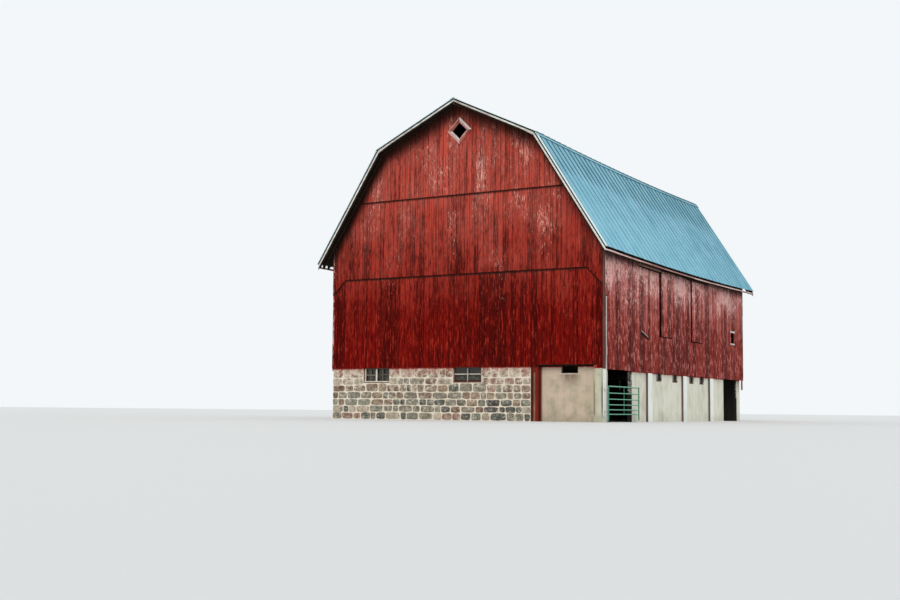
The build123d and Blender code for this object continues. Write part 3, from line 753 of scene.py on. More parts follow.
# %% Stone, mortar and concrete
stone_face = field_stone("stone_face")
olive = (0.1, 0.072, 0.035, 1)
lime_mortar = masonry("lime_mortar", (0.83, 0.73, 0.585, 1), (0.57, 0.485, 0.37, 1), 0.2, 0.006,
                      (2.125, 0.2, 0.5))
infill_concrete = masonry("infill_concrete", (0.62, 0.49, 0.37, 1), (0.33, 0.31, 0.2, 1), 0.4, 0.004,
                          (2.09, 0.11, 0.2), 0.4, vent_run_and_shade)
pier_concrete = masonry("pier_concrete", (0.63, 0.61, 0.45, 1), (0.38, 0.36, 0.25, 1), 0.5, 0.004,
                        (2.02, 0.08, 0.1), 0.3, pier_runs_and_shade, olive, (0.92, 0.98, 0.92, 1))
panel_concrete = masonry("panel_concrete", (0.85, 0.84, 0.71, 1), (0.57, 0.53, 0.41, 1), 0.8, 0.004,
                         (1.99, 0.11, 0.15), 0.2, jamb_dirt, (0.022, 0.017, 0.012, 1))
pilaster_concrete = masonry("pilaster_concrete", (0.97, 1.0, 0.94, 1), (0.78, 0.77, 0.68, 1), 0.7, 0.004,
                            (1.97, 0.06, 0.0), 0.15, shaded_side, (0.085, 0.022, 0.014, 1))

# %% [markdown]
# ## Finish: old galvanised roof
#
# Zinc sheets dull to a chalky blue grey. Each sheet has aged a little differently, and rain draws
# faint streaks down the slope. Low metallic keeps the colour of the zinc bloom, with a soft shine
# over it.

# %% Roof metal
def roof_zinc(name, zinc):
    """Seamed sheets with their own tone and streaks down the slope."""
    made, graph, shader, position = material(name)
    tone, across, _ = marks(graph)
    streaks = graph.streaks(position, (0.5, 15.0, 0.5), 5.0, 0.65)
    bloom = place(graph, mottle, Position=position, Size=0.9)
    parts = graph.parts(position)
    share = streaks * 0.3 + tone * 0.2 + bloom["Cloud"] * 0.35
    share += graph.span(parts["Y"], -6.0, 9.0, 0.0, 0.16, smooth=False)
    height = parts["Z"]
    share += graph.span(height, 7.0, 10.6, -0.03, 0.03)
    colour = graph.mix(zinc[0], zinc[1], graph.span(share, 0.3, 0.78))
    # Dirt and painted shade at the foot and sides of each seam, from the marks, stronger higher up the roof.
    strength = graph.span(height, 6.9, 9.2, 0.55, 0.8) + graph.span(height, 9.2, 9.8, 0.0, 0.9)
    seams = across * strength
    colour = graph.mix(colour, (0.01, 0.07, 0.09, 1), graph.span(seams, 0.0, 1.0, 0.0, 0.92, smooth=False))
    colour = graph.mix(colour, (0.16, 0.07, 0.04, 1), graph.span(bloom["Speckle"], 0.7, 0.78, 0.0, 0.35))
    surface(graph, shader, colour, graph.span(bloom["Cloud"], 0.3, 0.7, 0.42, 0.62), 0.2)
    shader.inputs["Metallic"].default_value = 0.15
    bump(graph, shader, bloom["Cloud"], 0.25, 0.02)
    return made


roof_metal = roof_zinc("roof_metal", ((0.275, 0.595, 0.735, 1), (0.14, 0.37, 0.47, 1)))
# The edge metal is a paler copy of the roof zinc: a painted highlight along the roof's edges.
highlit_edge_metal = roof_zinc("highlit_edge_metal", ((0.8, 0.95, 0.93, 1), (0.5, 0.72, 0.74, 1)))

# %% [markdown]
# ## Finish: gate paint and iron
#
# The gate is enamelled tube: green with a mint painted highlight on top of each rail, rusty at the
# welds. The hooks were limewashed with the pier, and only their worn spots show rust. One function
# makes all three, since what differs is the paint, its painted highlight on top and where rust starts.

# %% Gate paint and iron
def old_metal(name, paint, lit_top, rust_start, rough):
    """Painted or bare metal, lighter on top as a painted highlight, with rust in the hollows of a cloudy
    noise.
    """
    made, graph, shader, position = material(name)
    patches = place(graph, mottle, Position=position, Size=0.12)
    colour = graph.mix(paint, lit_top, graph.span(graph.facing("Z"), -0.15, 0.4))
    rusty = graph.span(patches["Cloud"], rust_start, rust_start + 0.1)
    colour = graph.mix(colour, (0.13, 0.05, 0.025, 1), rusty)
    surface(graph, shader, colour, graph.span(rusty, 0.0, 1.0, rough, 0.9))
    bump(graph, shader, patches["Height"], 0.3, 0.003)
    return made


gate_green = old_metal("gate_green", (0.004, 0.12, 0.05, 1), (0.24, 0.72, 0.5, 1), 0.68, 0.4)
weld_metal = old_metal("weld_metal", (0.004, 0.12, 0.05, 1), (0.2, 0.6, 0.42, 1), 0.5, 0.5)
hook_iron = old_metal("hook_iron", (0.5, 0.52, 0.47, 1), (0.62, 0.64, 0.58, 1), 0.6, 0.8)

# %% [markdown]
# ## Finish: window glass and painted trim
#
# The panes look into a dark basement through years of dust. Clear glass would need a lit room
# behind it, so a dark pane whose dust is paler and duller does the job. Thin old paint on sashes,
# bars and the post shows its grain, so the bare wood finish makes it too, in paint colours.

# %% Glass and trim paint
def dusty_glass(name):
    """Old panes with dust: mostly dark and dull, so no light has to pass."""
    made, graph, shader, position = material(name)
    dust = place(graph, mottle, Position=position, Size=0.22)
    pane = graph.mix((0.01, 0.01, 0.008, 1), (0.11, 0.1, 0.075, 1), graph.span(dust["Cloud"], 0.45, 0.75))
    surface(graph, shader, pane, graph.span(dust["Cloud"], 0.4, 0.7, 0.12, 0.6))
    return made


pane_glass = dusty_glass("pane_glass")
sash_paint = bare_wood("sash_paint", (0.2, 0.09, 0.065, 1), (0.05, 0.016, 0.012, 1), 0.004, "X")
worn_trim = bare_wood("worn_trim", (0.5, 0.16, 0.12, 1), (0.14, 0.025, 0.02, 1), 0.006)
dull_paint = bare_wood("dull_paint", (0.4, 0.36, 0.27, 1), (0.14, 0.1, 0.07, 1), 0.003)
muntin_paint = bare_wood("muntin_paint", (0.75, 0.69, 0.57, 1), (0.4, 0.3, 0.22, 1), 0.003)
post_paint = bare_wood("post_paint", (0.24, 0.022, 0.012, 1), (0.06, 0.01, 0.007, 1), 0.008)
bare_strip = bare_wood("bare_strip", (0.42, 0.25, 0.15, 1), (0.09, 0.045, 0.03, 1), 0.008)

# %% [markdown]
# ## Boards
#
# A board wall could be one slab with lines in its bump, but then no board could cup, twist or end
# short, and light would never catch an edge. So each board is a loft of its own: a slightly cupped
# section with eased edges, carried up in a few steps with a little twist and bow, and cut to the
# roof line at its top.

# %% One board
board_gap = 0.005
clearance = 0.004
cup = 0.003
wander = 0.003
arris = 0.004
ring_spacing = 1.3
print("boards", round(board_thickness, 3), "m thick")


def board(shape, side, left, right, foot, top, back, thickness=board_thickness, kind=0):
    """An upright board. foot and top are heights at its left and right edge."""
    tone, own = chance.random(), chance.random()
    width = right - left
    stretches = max(1, round((max(top) - min(foot)) / ring_spacing))
    cupped = chance.uniform(-cup, cup)
    lean = [chance.uniform(-wander, wander) for _ in range(stretches + 1)]
    bow = [chance.uniform(-wander, wander) for _ in range(stretches + 1)]
    spots = [(0.0, -arris), (arris / width, 0.0), (0.5, cupped), (1 - arris / width, 0.0), (1.0, -arris)]
    rings = []
    for step in range(stretches + 1):
        rise = step / stretches
        ring = []
        for share, out in spots + [(1.0, None), (0.0, None)]:
            low = foot[0] + (foot[1] - foot[0]) * share
            high = top[0] + (top[1] - top[0]) * share
            depth = back if out is None else back + thickness + out - wander + lean[step] * (share - 0.5)
            ring.append(side.at(left + width * share + bow[step] * 0.5, depth, low + (high - low) * rise))
        rings.append(ring)
    places_across = [share for share, _ in spots] + [1.0, 0.0]
    shape.loft(rings, [(tone, share, own, 1.0) for share in places_across], kind)


# %% Rows of boards
def divided(start, end, parts):
    """Edges after start, up to end, that share out the run in the ratio of the parts."""
    reach = start
    edges = []
    for part in parts[:-1]:
        reach += (end - start) * part / sum(parts)
        edges.append(reach)
    return edges + [end]


def board_edges(start, end, breaks=(), low=0.16, high=0.25):
    """Random board edges from start to end that also fall on each break."""
    edges = [start]
    for stop in sorted({end, *[b for b in breaks if start < b < end]}):
        count = max(1, round((stop - edges[-1]) / chance.uniform(low, high)))
        edges += divided(edges[-1], stop, [chance.uniform(0.85, 1.15) for _ in range(count)])
    return edges


def board_field(shape, side, edges, foot, top, back, ragged=0.012, thickness=board_thickness, kind=0):
    """Boards between edges, from the foot line to the top line. Both are functions of the place."""
    for left, right in zip(edges, edges[1:]):
        a, b = left + board_gap / 2, right - board_gap / 2
        drop = chance.uniform(0, ragged)
        feet = (foot(a) + drop, foot(b) + drop)
        tops = (max(top(a), feet[0] + 0.01), max(top(b), feet[1] + 0.01))
        if max(tops[0] - feet[0], tops[1] - feet[1]) > 0.04:
            board(shape, side, a, b, feet, tops, back, thickness, kind=kind)


# %% [markdown]
# ## Gable siding
#
# Each gable is boarded in three tiers, and each tier laps 60 mm over the one below, which leaves
# the two long shadow lines. The lower line turns down at both corners. The front gable's foot
# steps up over the filled-in bay and down again at the corner.

# %% Gable tiers
siding_lap = 0.06
diamond_half = 0.31
diamond_clear = 0.035


def seam_line(x):
    """The lap between the lower and the middle tier."""
    return lower_seam - max(0.0, abs(x) - cut_x)


def front_foot(x):
    """Foot of the front gable's boards."""
    if x < bay_start:
        return gable_foot
    return bay_foot if x < corner_board_start else corner_foot


def under_roof(x):
    """Top of the gable boards, under the roof boards."""
    return roof_z(x, deck_depth) - clearance


def gable_tier(name, side, tier):
    """One tier of boards on one gable."""
    shape = Shape()
    back = board_thickness * tier
    reach = half_width - clearance
    if tier == 0:
        edges = board_edges(-reach, reach, (-cut_x, cut_x, bay_start, corner_board_start))
        foot = front_foot if name == "front" else lambda x: gable_foot
        board_field(shape, side, edges, foot, lambda x: seam_line(x) + siding_lap, back)
    elif tier == 1:
        edges = board_edges(-reach, reach, (-cut_x, cut_x))
        board_field(shape, side, edges, seam_line,
                    lambda x: min(under_roof(x), upper_seam + siding_lap), back)
    else:
        reach = eave_x - (upper_seam - eave_z) / lower_rise - 0.04
        edges = board_edges(-reach, reach, (-diamond_half, 0.0, diamond_half))
        for beside in ([e for e in edges if e <= -diamond_half], [e for e in edges if e >= diamond_half]):
            board_field(shape, side, beside, lambda x: upper_seam, under_roof, back)
        crossing = [e for e in edges if abs(e) <= diamond_half]
        board_field(shape, side, crossing, lambda x: upper_seam,
                    lambda x: diamond_z - (diamond_half - abs(x)) - diamond_clear, back)
        board_field(shape, side, crossing, lambda x: diamond_z + (diamond_half - abs(x)) + diamond_clear,
                    under_roof, back, ragged=0.0)
    return shape


for gable_name, gable_side in gables.items():
    for tier_number, tier_name in enumerate(("lower", "middle", "upper")):
        node_name = f"{gable_name}_siding_{tier_name}"
        piece(f"{gable_name}_boards_{tier_name}", gable_tier(gable_name, gable_side, tier_number),
              [gable_red], replaces=[node_name])

# %% [markdown]
# ## Long walls
#
# The long walls are boarded from the basement to the underside of the rafters, with short blocks
# between the rafters. On the doorway wall the boards stop at two hay doors and a small loft
# window, one end board hangs lower than its neighbours, and the doors stand off their frames
# enough to leave a black line on two edges.

# %% Openings of the doorway wall
door_low, door_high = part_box("hay_doors")
trim_low, trim_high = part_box("loft_window_trim")
door_width = 1.6
door_lap = 0.05
door_starts = (door_low.y, door_high.y - door_width)
loft_window = (trim_low.y + 0.15, trim_high.y - 0.075, trim_low.z + 0.09, trim_high.z - 0.09)
hanging_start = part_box("right_siding")[1].y - 0.31
hanging_width = 0.19
hanging_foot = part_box("right_siding")[0].z
bare_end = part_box("corner_strip")[0].y
wall_openings = [(y + door_lap, y + door_width - door_lap, door_low.z + door_lap, door_high.z - door_lap)
                 for y in door_starts] + [loft_window]
rafter_count = 17
rafter_half = 0.03
block_thickness = 0.022
head_clear = 0.012
first_rafter = -inner_half_length + 0.025
rafter_lines = [first_rafter - 2 * first_rafter * i / (rafter_count - 1) for i in range(rafter_count)]
print("openings", [[round(v, 2) for v in opening] for opening in wall_openings])


# %% Boards of a long wall
def opening_at(y):
    """The opening that a board in the middle of y meets, or None."""
    return next((o for o in wall_openings if o[0] < y < o[1]), None)


def long_wall(side, with_openings):
    """Boards and eave blocks of one long wall. The first boards at the near corner are bare."""
    shape = Shape()
    reach = inner_half_length - clearance
    stops = []
    if with_openings:
        stops = [stop for o in wall_openings for stop in o[:2]]
        stops += [bare_end, hanging_start, hanging_start + hanging_width]
    edges = board_edges(-reach, reach, stops)
    for left, right in zip(edges, edges[1:]):
        middle = (left + right) / 2
        met = opening_at(middle) if with_openings else None
        hanging = with_openings and hanging_start < middle < hanging_start + hanging_width
        foot = hanging_foot if hanging else side_foot
        spans = [(foot, None)] if met is None else [(foot, met[2]), (met[3], None)]
        for low, high in spans:
            def top(y):
                return roof_z(half_width, rafter_depth) + sag(y) - head_clear if high is None else high
            kind = 1 if with_openings and middle < bare_end else 0
            board_field(shape, side, [left, right], lambda y: low, top, 0.0, kind=kind)
    block_foot = roof_z(half_width, rafter_depth) - 0.005
    block_top = roof_z(half_width, deck_depth) - head_clear
    for start, end in zip(rafter_lines, rafter_lines[1:]):
        a, b = start + rafter_half, end - rafter_half
        board(shape, side, a, b, (block_foot + sag(a), block_foot + sag(b)),
              (block_top + sag(a), block_top + sag(b)), 0.0, block_thickness)
    return shape


piece("left_boards", long_wall(long_sides["left"], False), [side_red], replaces=["left_siding"])
piece("right_boards", long_wall(long_sides["right"], True), [side_red, corner_wood],
      replaces=["right_siding"])

# %% Hay doors
door_slits = (0.16, 0.11)
door_foot_slit = 0.035
door_thickness = 0.032


def hay_door(shape, start, door_slit):
    """Boards of one hay door, clear of its frame on the left and at its foot."""
    side = long_sides["right"]
    edges = board_edges(start + door_lap + door_slit, start + door_width)
    foot = door_low.z + door_lap + door_foot_slit
    board_field(shape, side, edges, lambda y: foot, lambda y: door_high.z, board_thickness, 0.004,
                door_thickness)


hay_doors = Shape()
for door_start, door_slit in zip(door_starts, door_slits):
    hay_door(hay_doors, door_start, door_slit)
piece("hay_door_boards", hay_doors, [side_red], replaces=["hay_doors"])

# %% [markdown]
# ## Roof sheets
#
# The roof is covered with long zinc sheets, and each hooks over its neighbour in a raised seam. A
# wide plane with lines in its bump would lose the seams' shadows and the toothed edge at the eave.
# So every sheet is a loft: its cross-section, with the seam, two low crimps and a pan, is carried
# down the slope. The lower slope takes two lengths of sheet, which leaves a lap line half way.

# %% Roof measures
seam_count = 37
seam_height = 0.024
sheet_pitch = 2 * sheet_end / seam_count
seam_lines = [-sheet_end + (i + 0.5) * sheet_pitch for i in range(seam_count)]
seam_top, seam_foot = 0.012, 0.023
crimp = ((-0.016, 0.0), (-0.006, 0.005), (0.006, 0.005), (0.016, 0.0))
sheet_back = -0.0045
sheet_lap, flashing_cover, ridge_gap = 0.06, 0.062, 0.02
flashing_lift = 0.0253
bend = (flashing_lift + sheet_metal) * math.hypot(1, lower_rise) / (lower_rise - upper_rise)
bend_x = break_x + bend
flashing_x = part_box("roof_metal_upper_right")[1].x
lap_x = 5.175
print(seam_count, "seams,", round(sheet_pitch, 3), "m apart")


# %% Places on the roof
def steps(start, end, count):
    """Evenly spaced places from start to end."""
    return [start + (end - start) * i / count for i in range(count + 1)]


def roof_point(side, x, y, lift, lower):
    """A point on a slope, lifted square to it."""
    rise = lower_rise if lower else upper_rise
    plane = eave_z + (eave_x - x) * lower_rise if lower else ridge_z - x * upper_rise
    return (side * x, y, plane + sag(y) + lift * math.hypot(1, rise))


# %% One row of sheets
def sheet_section(start, end, seamed):
    """Points (y, lift, dirt) across one sheet, over the top from its seam and back underneath; dirt stands
    for dirt and painted shade.
    """
    if seamed:
        across = ((-0.022, 0.0, 1.0), (-seam_top, seam_height, 0.5), (seam_top, seam_height, 0.5),
                  (seam_foot, 0.0, 1.0), (0.06, 0.0, 0.05))
    else:
        # The dark band just inside the rake metal's fold on the first sheet is a painted shadow.
        across = ((0.0, 0.0, 0.0), (0.155, 0.0, 1.6), (0.22, 0.0, 1.6), (0.25, 0.0, 0.0))
    section = [(start + off, lift, dirt) for off, lift, dirt in across]
    reach = end - seam_foot if abs(end - sheet_end) > 0.01 else end
    width = reach - section[-1][0]
    for share in (0.33, 0.67):
        if width > 0.3:
            middle = start + seam_foot + width * share
            section += [(middle + off, lift, 0.1) for off, lift in crimp]
    if reach == end:
        section.append((end, 0.0, 0.0))
    else:
        section += [(reach - 0.045, 0.0, 0.05), (reach, 0.0, 1.0)]
    return section + [(reach, sheet_back, 0.0), (section[0][0], sheet_back, 0.0)]


def sheet_row(shape, side, lower, x_high, x_low, lift=0.0, ragged=0.008):
    """A row of sheets side by side, from x_high down to about x_low."""
    edges = [-sheet_end, *seam_lines, sheet_end]
    for number, (start, end) in enumerate(zip(edges, edges[1:])):
        section = sheet_section(start, end, number > 0)
        tone, own = chance.uniform(0.2, 0.6), chance.random()
        shade_and_dirt_scale = chance.choice((0.85, 0.95, 1.05, 1.25))
        reach = x_low - chance.uniform(0, ragged)
        rings = []
        for step in range(6):
            x = x_high + (reach - x_high) * step / 5
            raised = lift * step / 5 + chance.uniform(0, 0.0012)
            rings.append([roof_point(side, x, y, up + raised, lower) for y, up, _ in section])
        shape.loft(rings, [(tone, dirt * shade_and_dirt_scale, own, 1.0) for _, _, dirt in section])


# %% Lower slopes
lower_sheets = Shape()
for slope in (-1, 1):
    sheet_row(lower_sheets, slope, True, lap_x - sheet_lap, eave_x)
    sheet_row(lower_sheets, slope, True, break_x + flashing_cover, lap_x, 0.004, 0.03)
piece("roof_sheets_lower", lower_sheets, [roof_metal], replaces=["roof_metal_lower"])


# %% Upper slopes and the flashing at the break
flashing_pieces, flashing_gauge, flashing_lap = 7, 0.005, 0.03


def flashing(shape, side):
    """The strip bent over the break, in lengths that lap."""
    stops = steps(-sheet_end, sheet_end, flashing_pieces)
    for number, (start, end) in enumerate(zip(stops, stops[1:])):
        tone = chance.random()
        raised = flashing_lift + 0.0015 * (number % 2)
        top = raised + flashing_gauge
        places = steps(start, end, 8)
        places[-1] = min(end + flashing_lap, sheet_end)
        rings = []
        for y in places:
            x_low = flashing_x - chance.uniform(0.0, 0.006)
            rings.append([roof_point(side, bend_x, y, -0.001, False)]
                         + [roof_point(side, x, y, lift, True) for x, lift in
                            ((bend_x + 0.024, top), (bend_x + 0.034, top), (x_low, top), (x_low, raised))]
                         + [roof_point(side, bend_x, y, -0.006, False)])
        # The marks darken the bend and the strip's underside: dirt and painted shade under the flashing.
        shape.loft(rings, [(tone, dirt, 0.4, 1.0) for dirt in (1.0, 0.9, 0.1, 0.0, 0.6, 0.9)])


rake_fold, rake_lip = 0.16, 0.005


def rake_metal(shape, end, side):
    """The folded strips that close the sheets along one rake, in three lengths."""
    for x0, x1, lower in ((0.015, bend_x, False), (bend_x, lap_x, True), (lap_x, eave_x, True)):
        raised = chance.uniform(0.019, 0.021)
        rings = []
        for x in steps(x0, x1, 4):
            rings.append([roof_point(side, x, end * y, lift, lower) for y, lift in
                          ((sheet_end, raised - 0.024), (sheet_end, raised), (sheet_end - rake_fold, raised),
                           (sheet_end - rake_fold, 0.002), (sheet_end - rake_fold + rake_lip, 0.002))])
        shape.loft(rings, [(chance.random() * 0.5, 0.0, chance.random(), 1.0)])


rake_edges = Shape()
for end in (-1, 1):
    for slope in (-1, 1):
        rake_metal(rake_edges, end, slope)
piece("rake_metal", rake_edges, [highlit_edge_metal])

for slope_name, slope in (("left", -1), ("right", 1)):
    upper_sheets = Shape()
    sheet_row(upper_sheets, slope, False, ridge_gap, bend_x, 0.0, 0.0)
    flashing(upper_sheets, slope)
    piece(f"roof_sheets_upper_{slope_name}", upper_sheets, [roof_metal],
          replaces=[f"roof_metal_upper_{slope_name}"])

# %% [markdown]
# ## Ridge ends
#
# The ridge cap is right as it is and only takes the roof's finish. At each gable its end is folded
# down to keep birds out, and that fold shows as a dark knob against the sky.

# %% Ridge ends
cap_top = ridge_z + 0.028
fold_outline = ((-0.1, -0.06), (0.1, -0.06), (0.05, -0.028), (0.0, -0.004), (-0.05, -0.028))
fold_start, fold_end = sheet_end - 0.12, sheet_end - 0.002
ridge_ends = Shape()
for end in (-1, 1):
    rings = [[(x, end * y, cap_top + z) for x, z in fold_outline] for y in (fold_start, fold_end)]
    # The mark paints the fold near-black, as painted shade.
    ridge_ends.loft(rings, [(0.9, 1.0, 0.5, 1.0)])
piece("ridge_ends", ridge_ends, [roof_metal])

# %% [markdown]
# ## Rake and eave boards
#
# Pale bare boards close the roof's edges. They are the cheapest boards of the barn, so they are
# nailed on in lengths that no longer meet, and each has warped a little. One helper carries a
# small section through a row of places.

# %% A board through a row of places
def own_mark():
    """The mark of one board, with its own tone and chance number."""
    return [(chance.random(), 0.5, chance.random(), 1.0)]


def run_board(shape, places, section, kind=0):
    """A board along places. section gives the corners of its cross-section at one place."""
    rings = [section(place_at) for place_at in places]
    shape.loft(rings, own_mark(), kind)


def lengths(start, end, low, high):
    """Start and end of each board in a row, with open joints."""
    edges = board_edges(start, end, (), low, high)
    return [(a + clearance, b - clearance) for a, b in zip(edges, edges[1:])]


# %% Rake boards
rake_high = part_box("rake_boards")[1]
rake_face = rake_high.y
rake_thickness = 0.0245
rake_top, rake_join, rake_foot = 0.056, 0.118, 0.159
corner_x = (rake_top * (math.hypot(1, lower_rise) - math.hypot(1, upper_rise))) / (lower_rise - upper_rise)


def rake_board(shape, end, side, x0, x1):
    """One length of pale rake board on one slope, over a near-black strip that is painted shade under it."""
    back, out = rake_face - rake_thickness, rake_face - chance.uniform(0.0005, 0.003)
    drop = chance.uniform(0, 0.004)
    for high, low, face, kind in ((rake_top + drop, rake_join + drop, out, 0),
                                  (rake_join, rake_foot, out - 0.008, 1)):
        def section(x):
            top, foot = roof_z(x, high), roof_z(x, low)
            return [(side * x, end * back, top), (side * x, end * face, top), (side * x, end * face, foot),
                    (side * x, end * back, foot)]
        run_board(shape, steps(x0, x1, 3), section, kind)


rakes = Shape()
for end in (-1, 1):
    for side in (-1, 1):
        for start, stop in ((break_x - corner_x, rake_high.x), (0.0, break_x - corner_x)):
            for a, b in lengths(start, stop, 1.6, 2.4):
                rake_board(rakes, end, side, a, b)
piece("rake_lengths", rakes, [rake_wood, soffit_and_shade_wood["X"]], replaces=["rake_boards"])

# %% Eave boards
eave_low, eave_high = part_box("eave_boards")
eave_top = eave_high.z
eave_join, eave_depth, eave_thickness = 0.053, 0.08, 0.025


def eave_board(shape, side, start, end):
    """One length of eave board, a little warped, with a near-black strip along its foot as painted shade."""
    drop = chance.uniform(0, 0.008)
    bow = chance.uniform(-0.006, 0.006)
    for high, low, face, kind in ((0.0, eave_join, eave_high.x - 0.0005, 0),
                                  (eave_join, eave_depth, eave_high.x - 0.006, 1)):
        def section(y):
            arch = bow * (1 - ((2 * y - start - end) / (end - start)) ** 2) - drop
            top = eave_top + sag(y) - high + min(arch, 0.0)
            foot = eave_top + sag(y) - low + (min(arch, 0.0) if kind == 0 else 0.0)
            inner, outer = side * (eave_high.x - eave_thickness), side * face
            return [(inner, y, top), (outer, y, top), (outer, y, foot), (inner, y, foot)]
        run_board(shape, steps(start, end, 6), section, kind)


eaves = Shape()
for side in (-1, 1):
    for a, b in lengths(eave_low.y, eave_high.y, 2.6, 4.2):
        eave_board(eaves, side, a, b)
piece("eave_lengths", eaves, [eave_wood, soffit_and_shade_wood["Y"]], replaces=["eave_boards"])

# %% Strips under the eave
# Each strip has a start and an end along the wall, how far its foot and its top lie under the eave,
# and its finish. Finish 0 is a loose board; finish 1, the near-black wood, is painted shade: a painted
# shadow under that board and painted shade bands along the eave further on.
strips = ((-5.2, -2.76, 0.19, 0.12, 0), (-5.22, -2.7, 0.235, 0.195, 1), (-2.68, 0.4, 0.13, 0.02, 1),
          (0.43, 3.3, 0.17, 0.03, 1), (3.33, 6.1, 0.1, 0.01, 1))
strip_back, strip_face = half_width + 0.034, half_width + 0.055
strip = Shape()
for start, end, low, high, kind in strips:
    def eave_strip(y):
        """Section of one strip at the head of the doorway wall's boards: a loose board, or a band of painted
        shade.
        """
        lean = 0.012 * math.sin(y * 1.3)
        top, foot = eave_z - high + sag(y), eave_z - low + sag(y) - lean
        return [(strip_back, y, top), (strip_face, y, top), (strip_face, y, foot), (strip_back, y, foot)]
    run_board(strip, steps(start, end, 8), eave_strip, kind)
piece("eave_strip", strip, [corner_wood, soffit_and_shade_wood["Y"]])

# %% [markdown]
# ## Trim on the walls
#
# A pale strip on the near corner, one board that hangs askew, the boards over and under the loft
# window, and the four mitred boards round the diamond are all bare or nearly so. They are lofts
# with uneven edges, because split and curled wood is what makes them read as old.

# %% Corner strip, loose board and loft window trim
def plank(shape, side, along, up, thickness, back, waver=0.006, kind=0):
    """An upright or level plank with uneven edges. along and up are (low, high) pairs."""
    upright_plank = up[1] - up[0] > along[1] - along[0]
    low, high = up if upright_plank else along
    near_edge, far_edge = along if upright_plank else up
    rings = []
    for spot in steps(low, high, max(2, round((high - low) / 0.3))):
        a, b = near_edge + chance.uniform(0, waver), far_edge - chance.uniform(0, waver)
        out = back + thickness - chance.uniform(0, 0.002)
        corners = [(a, back), (a, out), (b, out), (b, back)]
        rings.append([side.at(c, o, spot) if upright_plank else side.at(spot, o, c) for c, o in corners])
    shape.loft(rings, own_mark(), kind)


right_face = Side(False, 1, half_width)
low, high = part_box("corner_strip")
corner_out = high.x - half_width
corner_trim = Shape()
plank(corner_trim, right_face, (low.y + 0.02, high.y - 0.015), (low.z, high.z), corner_out, 0.0, 0.02)
piece("corner_board", corner_trim, [strip_wood], replaces=["corner_strip"])

trim_height = 0.09
loft_trim = Shape()
for foot, head in ((trim_low.z, trim_low.z + trim_height), (trim_high.z - trim_height, trim_high.z)):
    plank(loft_trim, right_face, (trim_low.y, trim_high.y), (foot, head), trim_high.x - half_width, 0.0, 0.01)
piece("loft_trim", loft_trim, [strip_wood], replaces=["loft_window_trim"])

loose_low, loose_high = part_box("loose_board")
loose = Shape()
slope_down = math.tan(math.radians(17))
middle_y, middle_z = (loose_low.y + loose_high.y) / 2, (loose_low.z + loose_high.z) / 2
# The lower part, in the near-black wood, is painted shade of the gap behind the board; the pale top edge is
# the board.
for foot, head, face, kind in ((-0.062, 0.042, loose_high.x - 0.008, 1),
                               (0.042, 0.062, loose_high.x - 0.001, 0)):
    rings = []
    for y in steps(loose_low.y + 0.02, loose_high.y - 0.02, 4):
        z = middle_z - (y - middle_y) * slope_down
        edge = chance.uniform(0, 0.006)
        rings.append([(half_width, y, z + foot + edge), (face, y, z + foot + edge), (face, y, z + head),
                      (half_width, y, z + head)])
    loose.loft(rings, [(0.2, 0.5, 0.5, 1.0)], kind)
piece("askew_board", loose, [strip_wood, soffit_and_shade_wood["Y"]], replaces=["loose_board"])


# %% Diamond frame
diamond_inner, diamond_outer, diamond_thickness = 0.33, 0.55, 0.026
# For each of the four boards, the shares of its width and the finish that they have.
diamond_strips = [((0.0, 0.42, 1), (0.42, 1.0, 0)), ((0.0, 0.78, 2), (0.78, 1.0, 1)),
                  ((0.0, 0.5, 0), (0.5, 1.0, 1)), ((0.0, 0.42, 1), (0.42, 1.0, 2))]


def diamond_board(shape, side, start, end, reach, kind):
    """One mitred strip of the diamond's frame, between two corner directions."""
    inner, outer = (diamond_inner + (diamond_outer - diamond_inner) * share for share in reach)
    rings = []
    for share in (0.0, 0.34, 0.67, 1.0):
        direction = start.lerp(end, share)
        a = direction * (inner + chance.uniform(-0.001, 0.004))
        b = direction * (outer - chance.uniform(0.0, 0.006))
        rings.append([side.at(spot.x, out, diamond_z + spot.y) for spot, out in
                      ((a, 0.0), (a, diamond_thickness), (b, diamond_thickness), (b, 0.0))])
    shape.loft(rings, own_mark(), kind)


frames = Shape()
corners = [Vector(c) for c in ((1, 0), (0, 1), (-1, 0), (0, -1))]
for sign in (-1, 1):
    frame_side = Side(True, sign, half_length + 2 * board_thickness)
    for start, end, parts in zip(corners, corners[1:] + corners[:1], diamond_strips):
        for inner, outer, kind in parts:
            diamond_board(frames, frame_side, start, end, (inner, outer), kind)
piece("diamond_trim", frames, [strip_wood, pink_trim, worn_trim],
      replaces=["diamond_frames"])

# %% [markdown]
# ## Field stones
#
# The basement is built of granite boulders split square and laid in courses, with wide cream
# joints. The CAD wall keeps its place and becomes the mortar. Each stone is a loft of rounded
# outlines that starts in the mortar and swells a finger's width out of it. Its course gives it
# its likely colours: pink and grey near the top, slate and moss grey near the ground.

# %% Courses and colours
course_lines = [0.0, 0.29, 0.555, 0.83, 1.1, 1.39, 1.675, 2.075]
stone_colours = {
    "pink": (0.355, 0.195, 0.14), "pale": (0.47, 0.38, 0.28), "grey": (0.255, 0.225, 0.165),
    "moss": (0.215, 0.21, 0.155), "slate": (0.06, 0.075, 0.06), "brown": (0.19, 0.095, 0.055),
    "tan": (0.29, 0.19, 0.12),
}
course_choice = [
    ("moss", "grey", "grey", "slate", "pale", "pink"), ("moss", "grey", "pale", "brown", "grey", "slate"),
    ("moss", "grey", "moss", "slate", "tan", "pale"), ("brown", "grey", "grey", "moss", "tan", "tan"),
    ("pink", "brown", "grey", "slate", "tan", "tan"), ("pink", "pale", "pale", "pink", "brown", "grey"),
    ("pink", "pale", "pink", "pale", "brown"),
]
outline_points = 14
stone_length = 0.47
stone_shares = (0.3, 0.4, 0.5, 0.6, 0.75)
wall_inset = 0.05
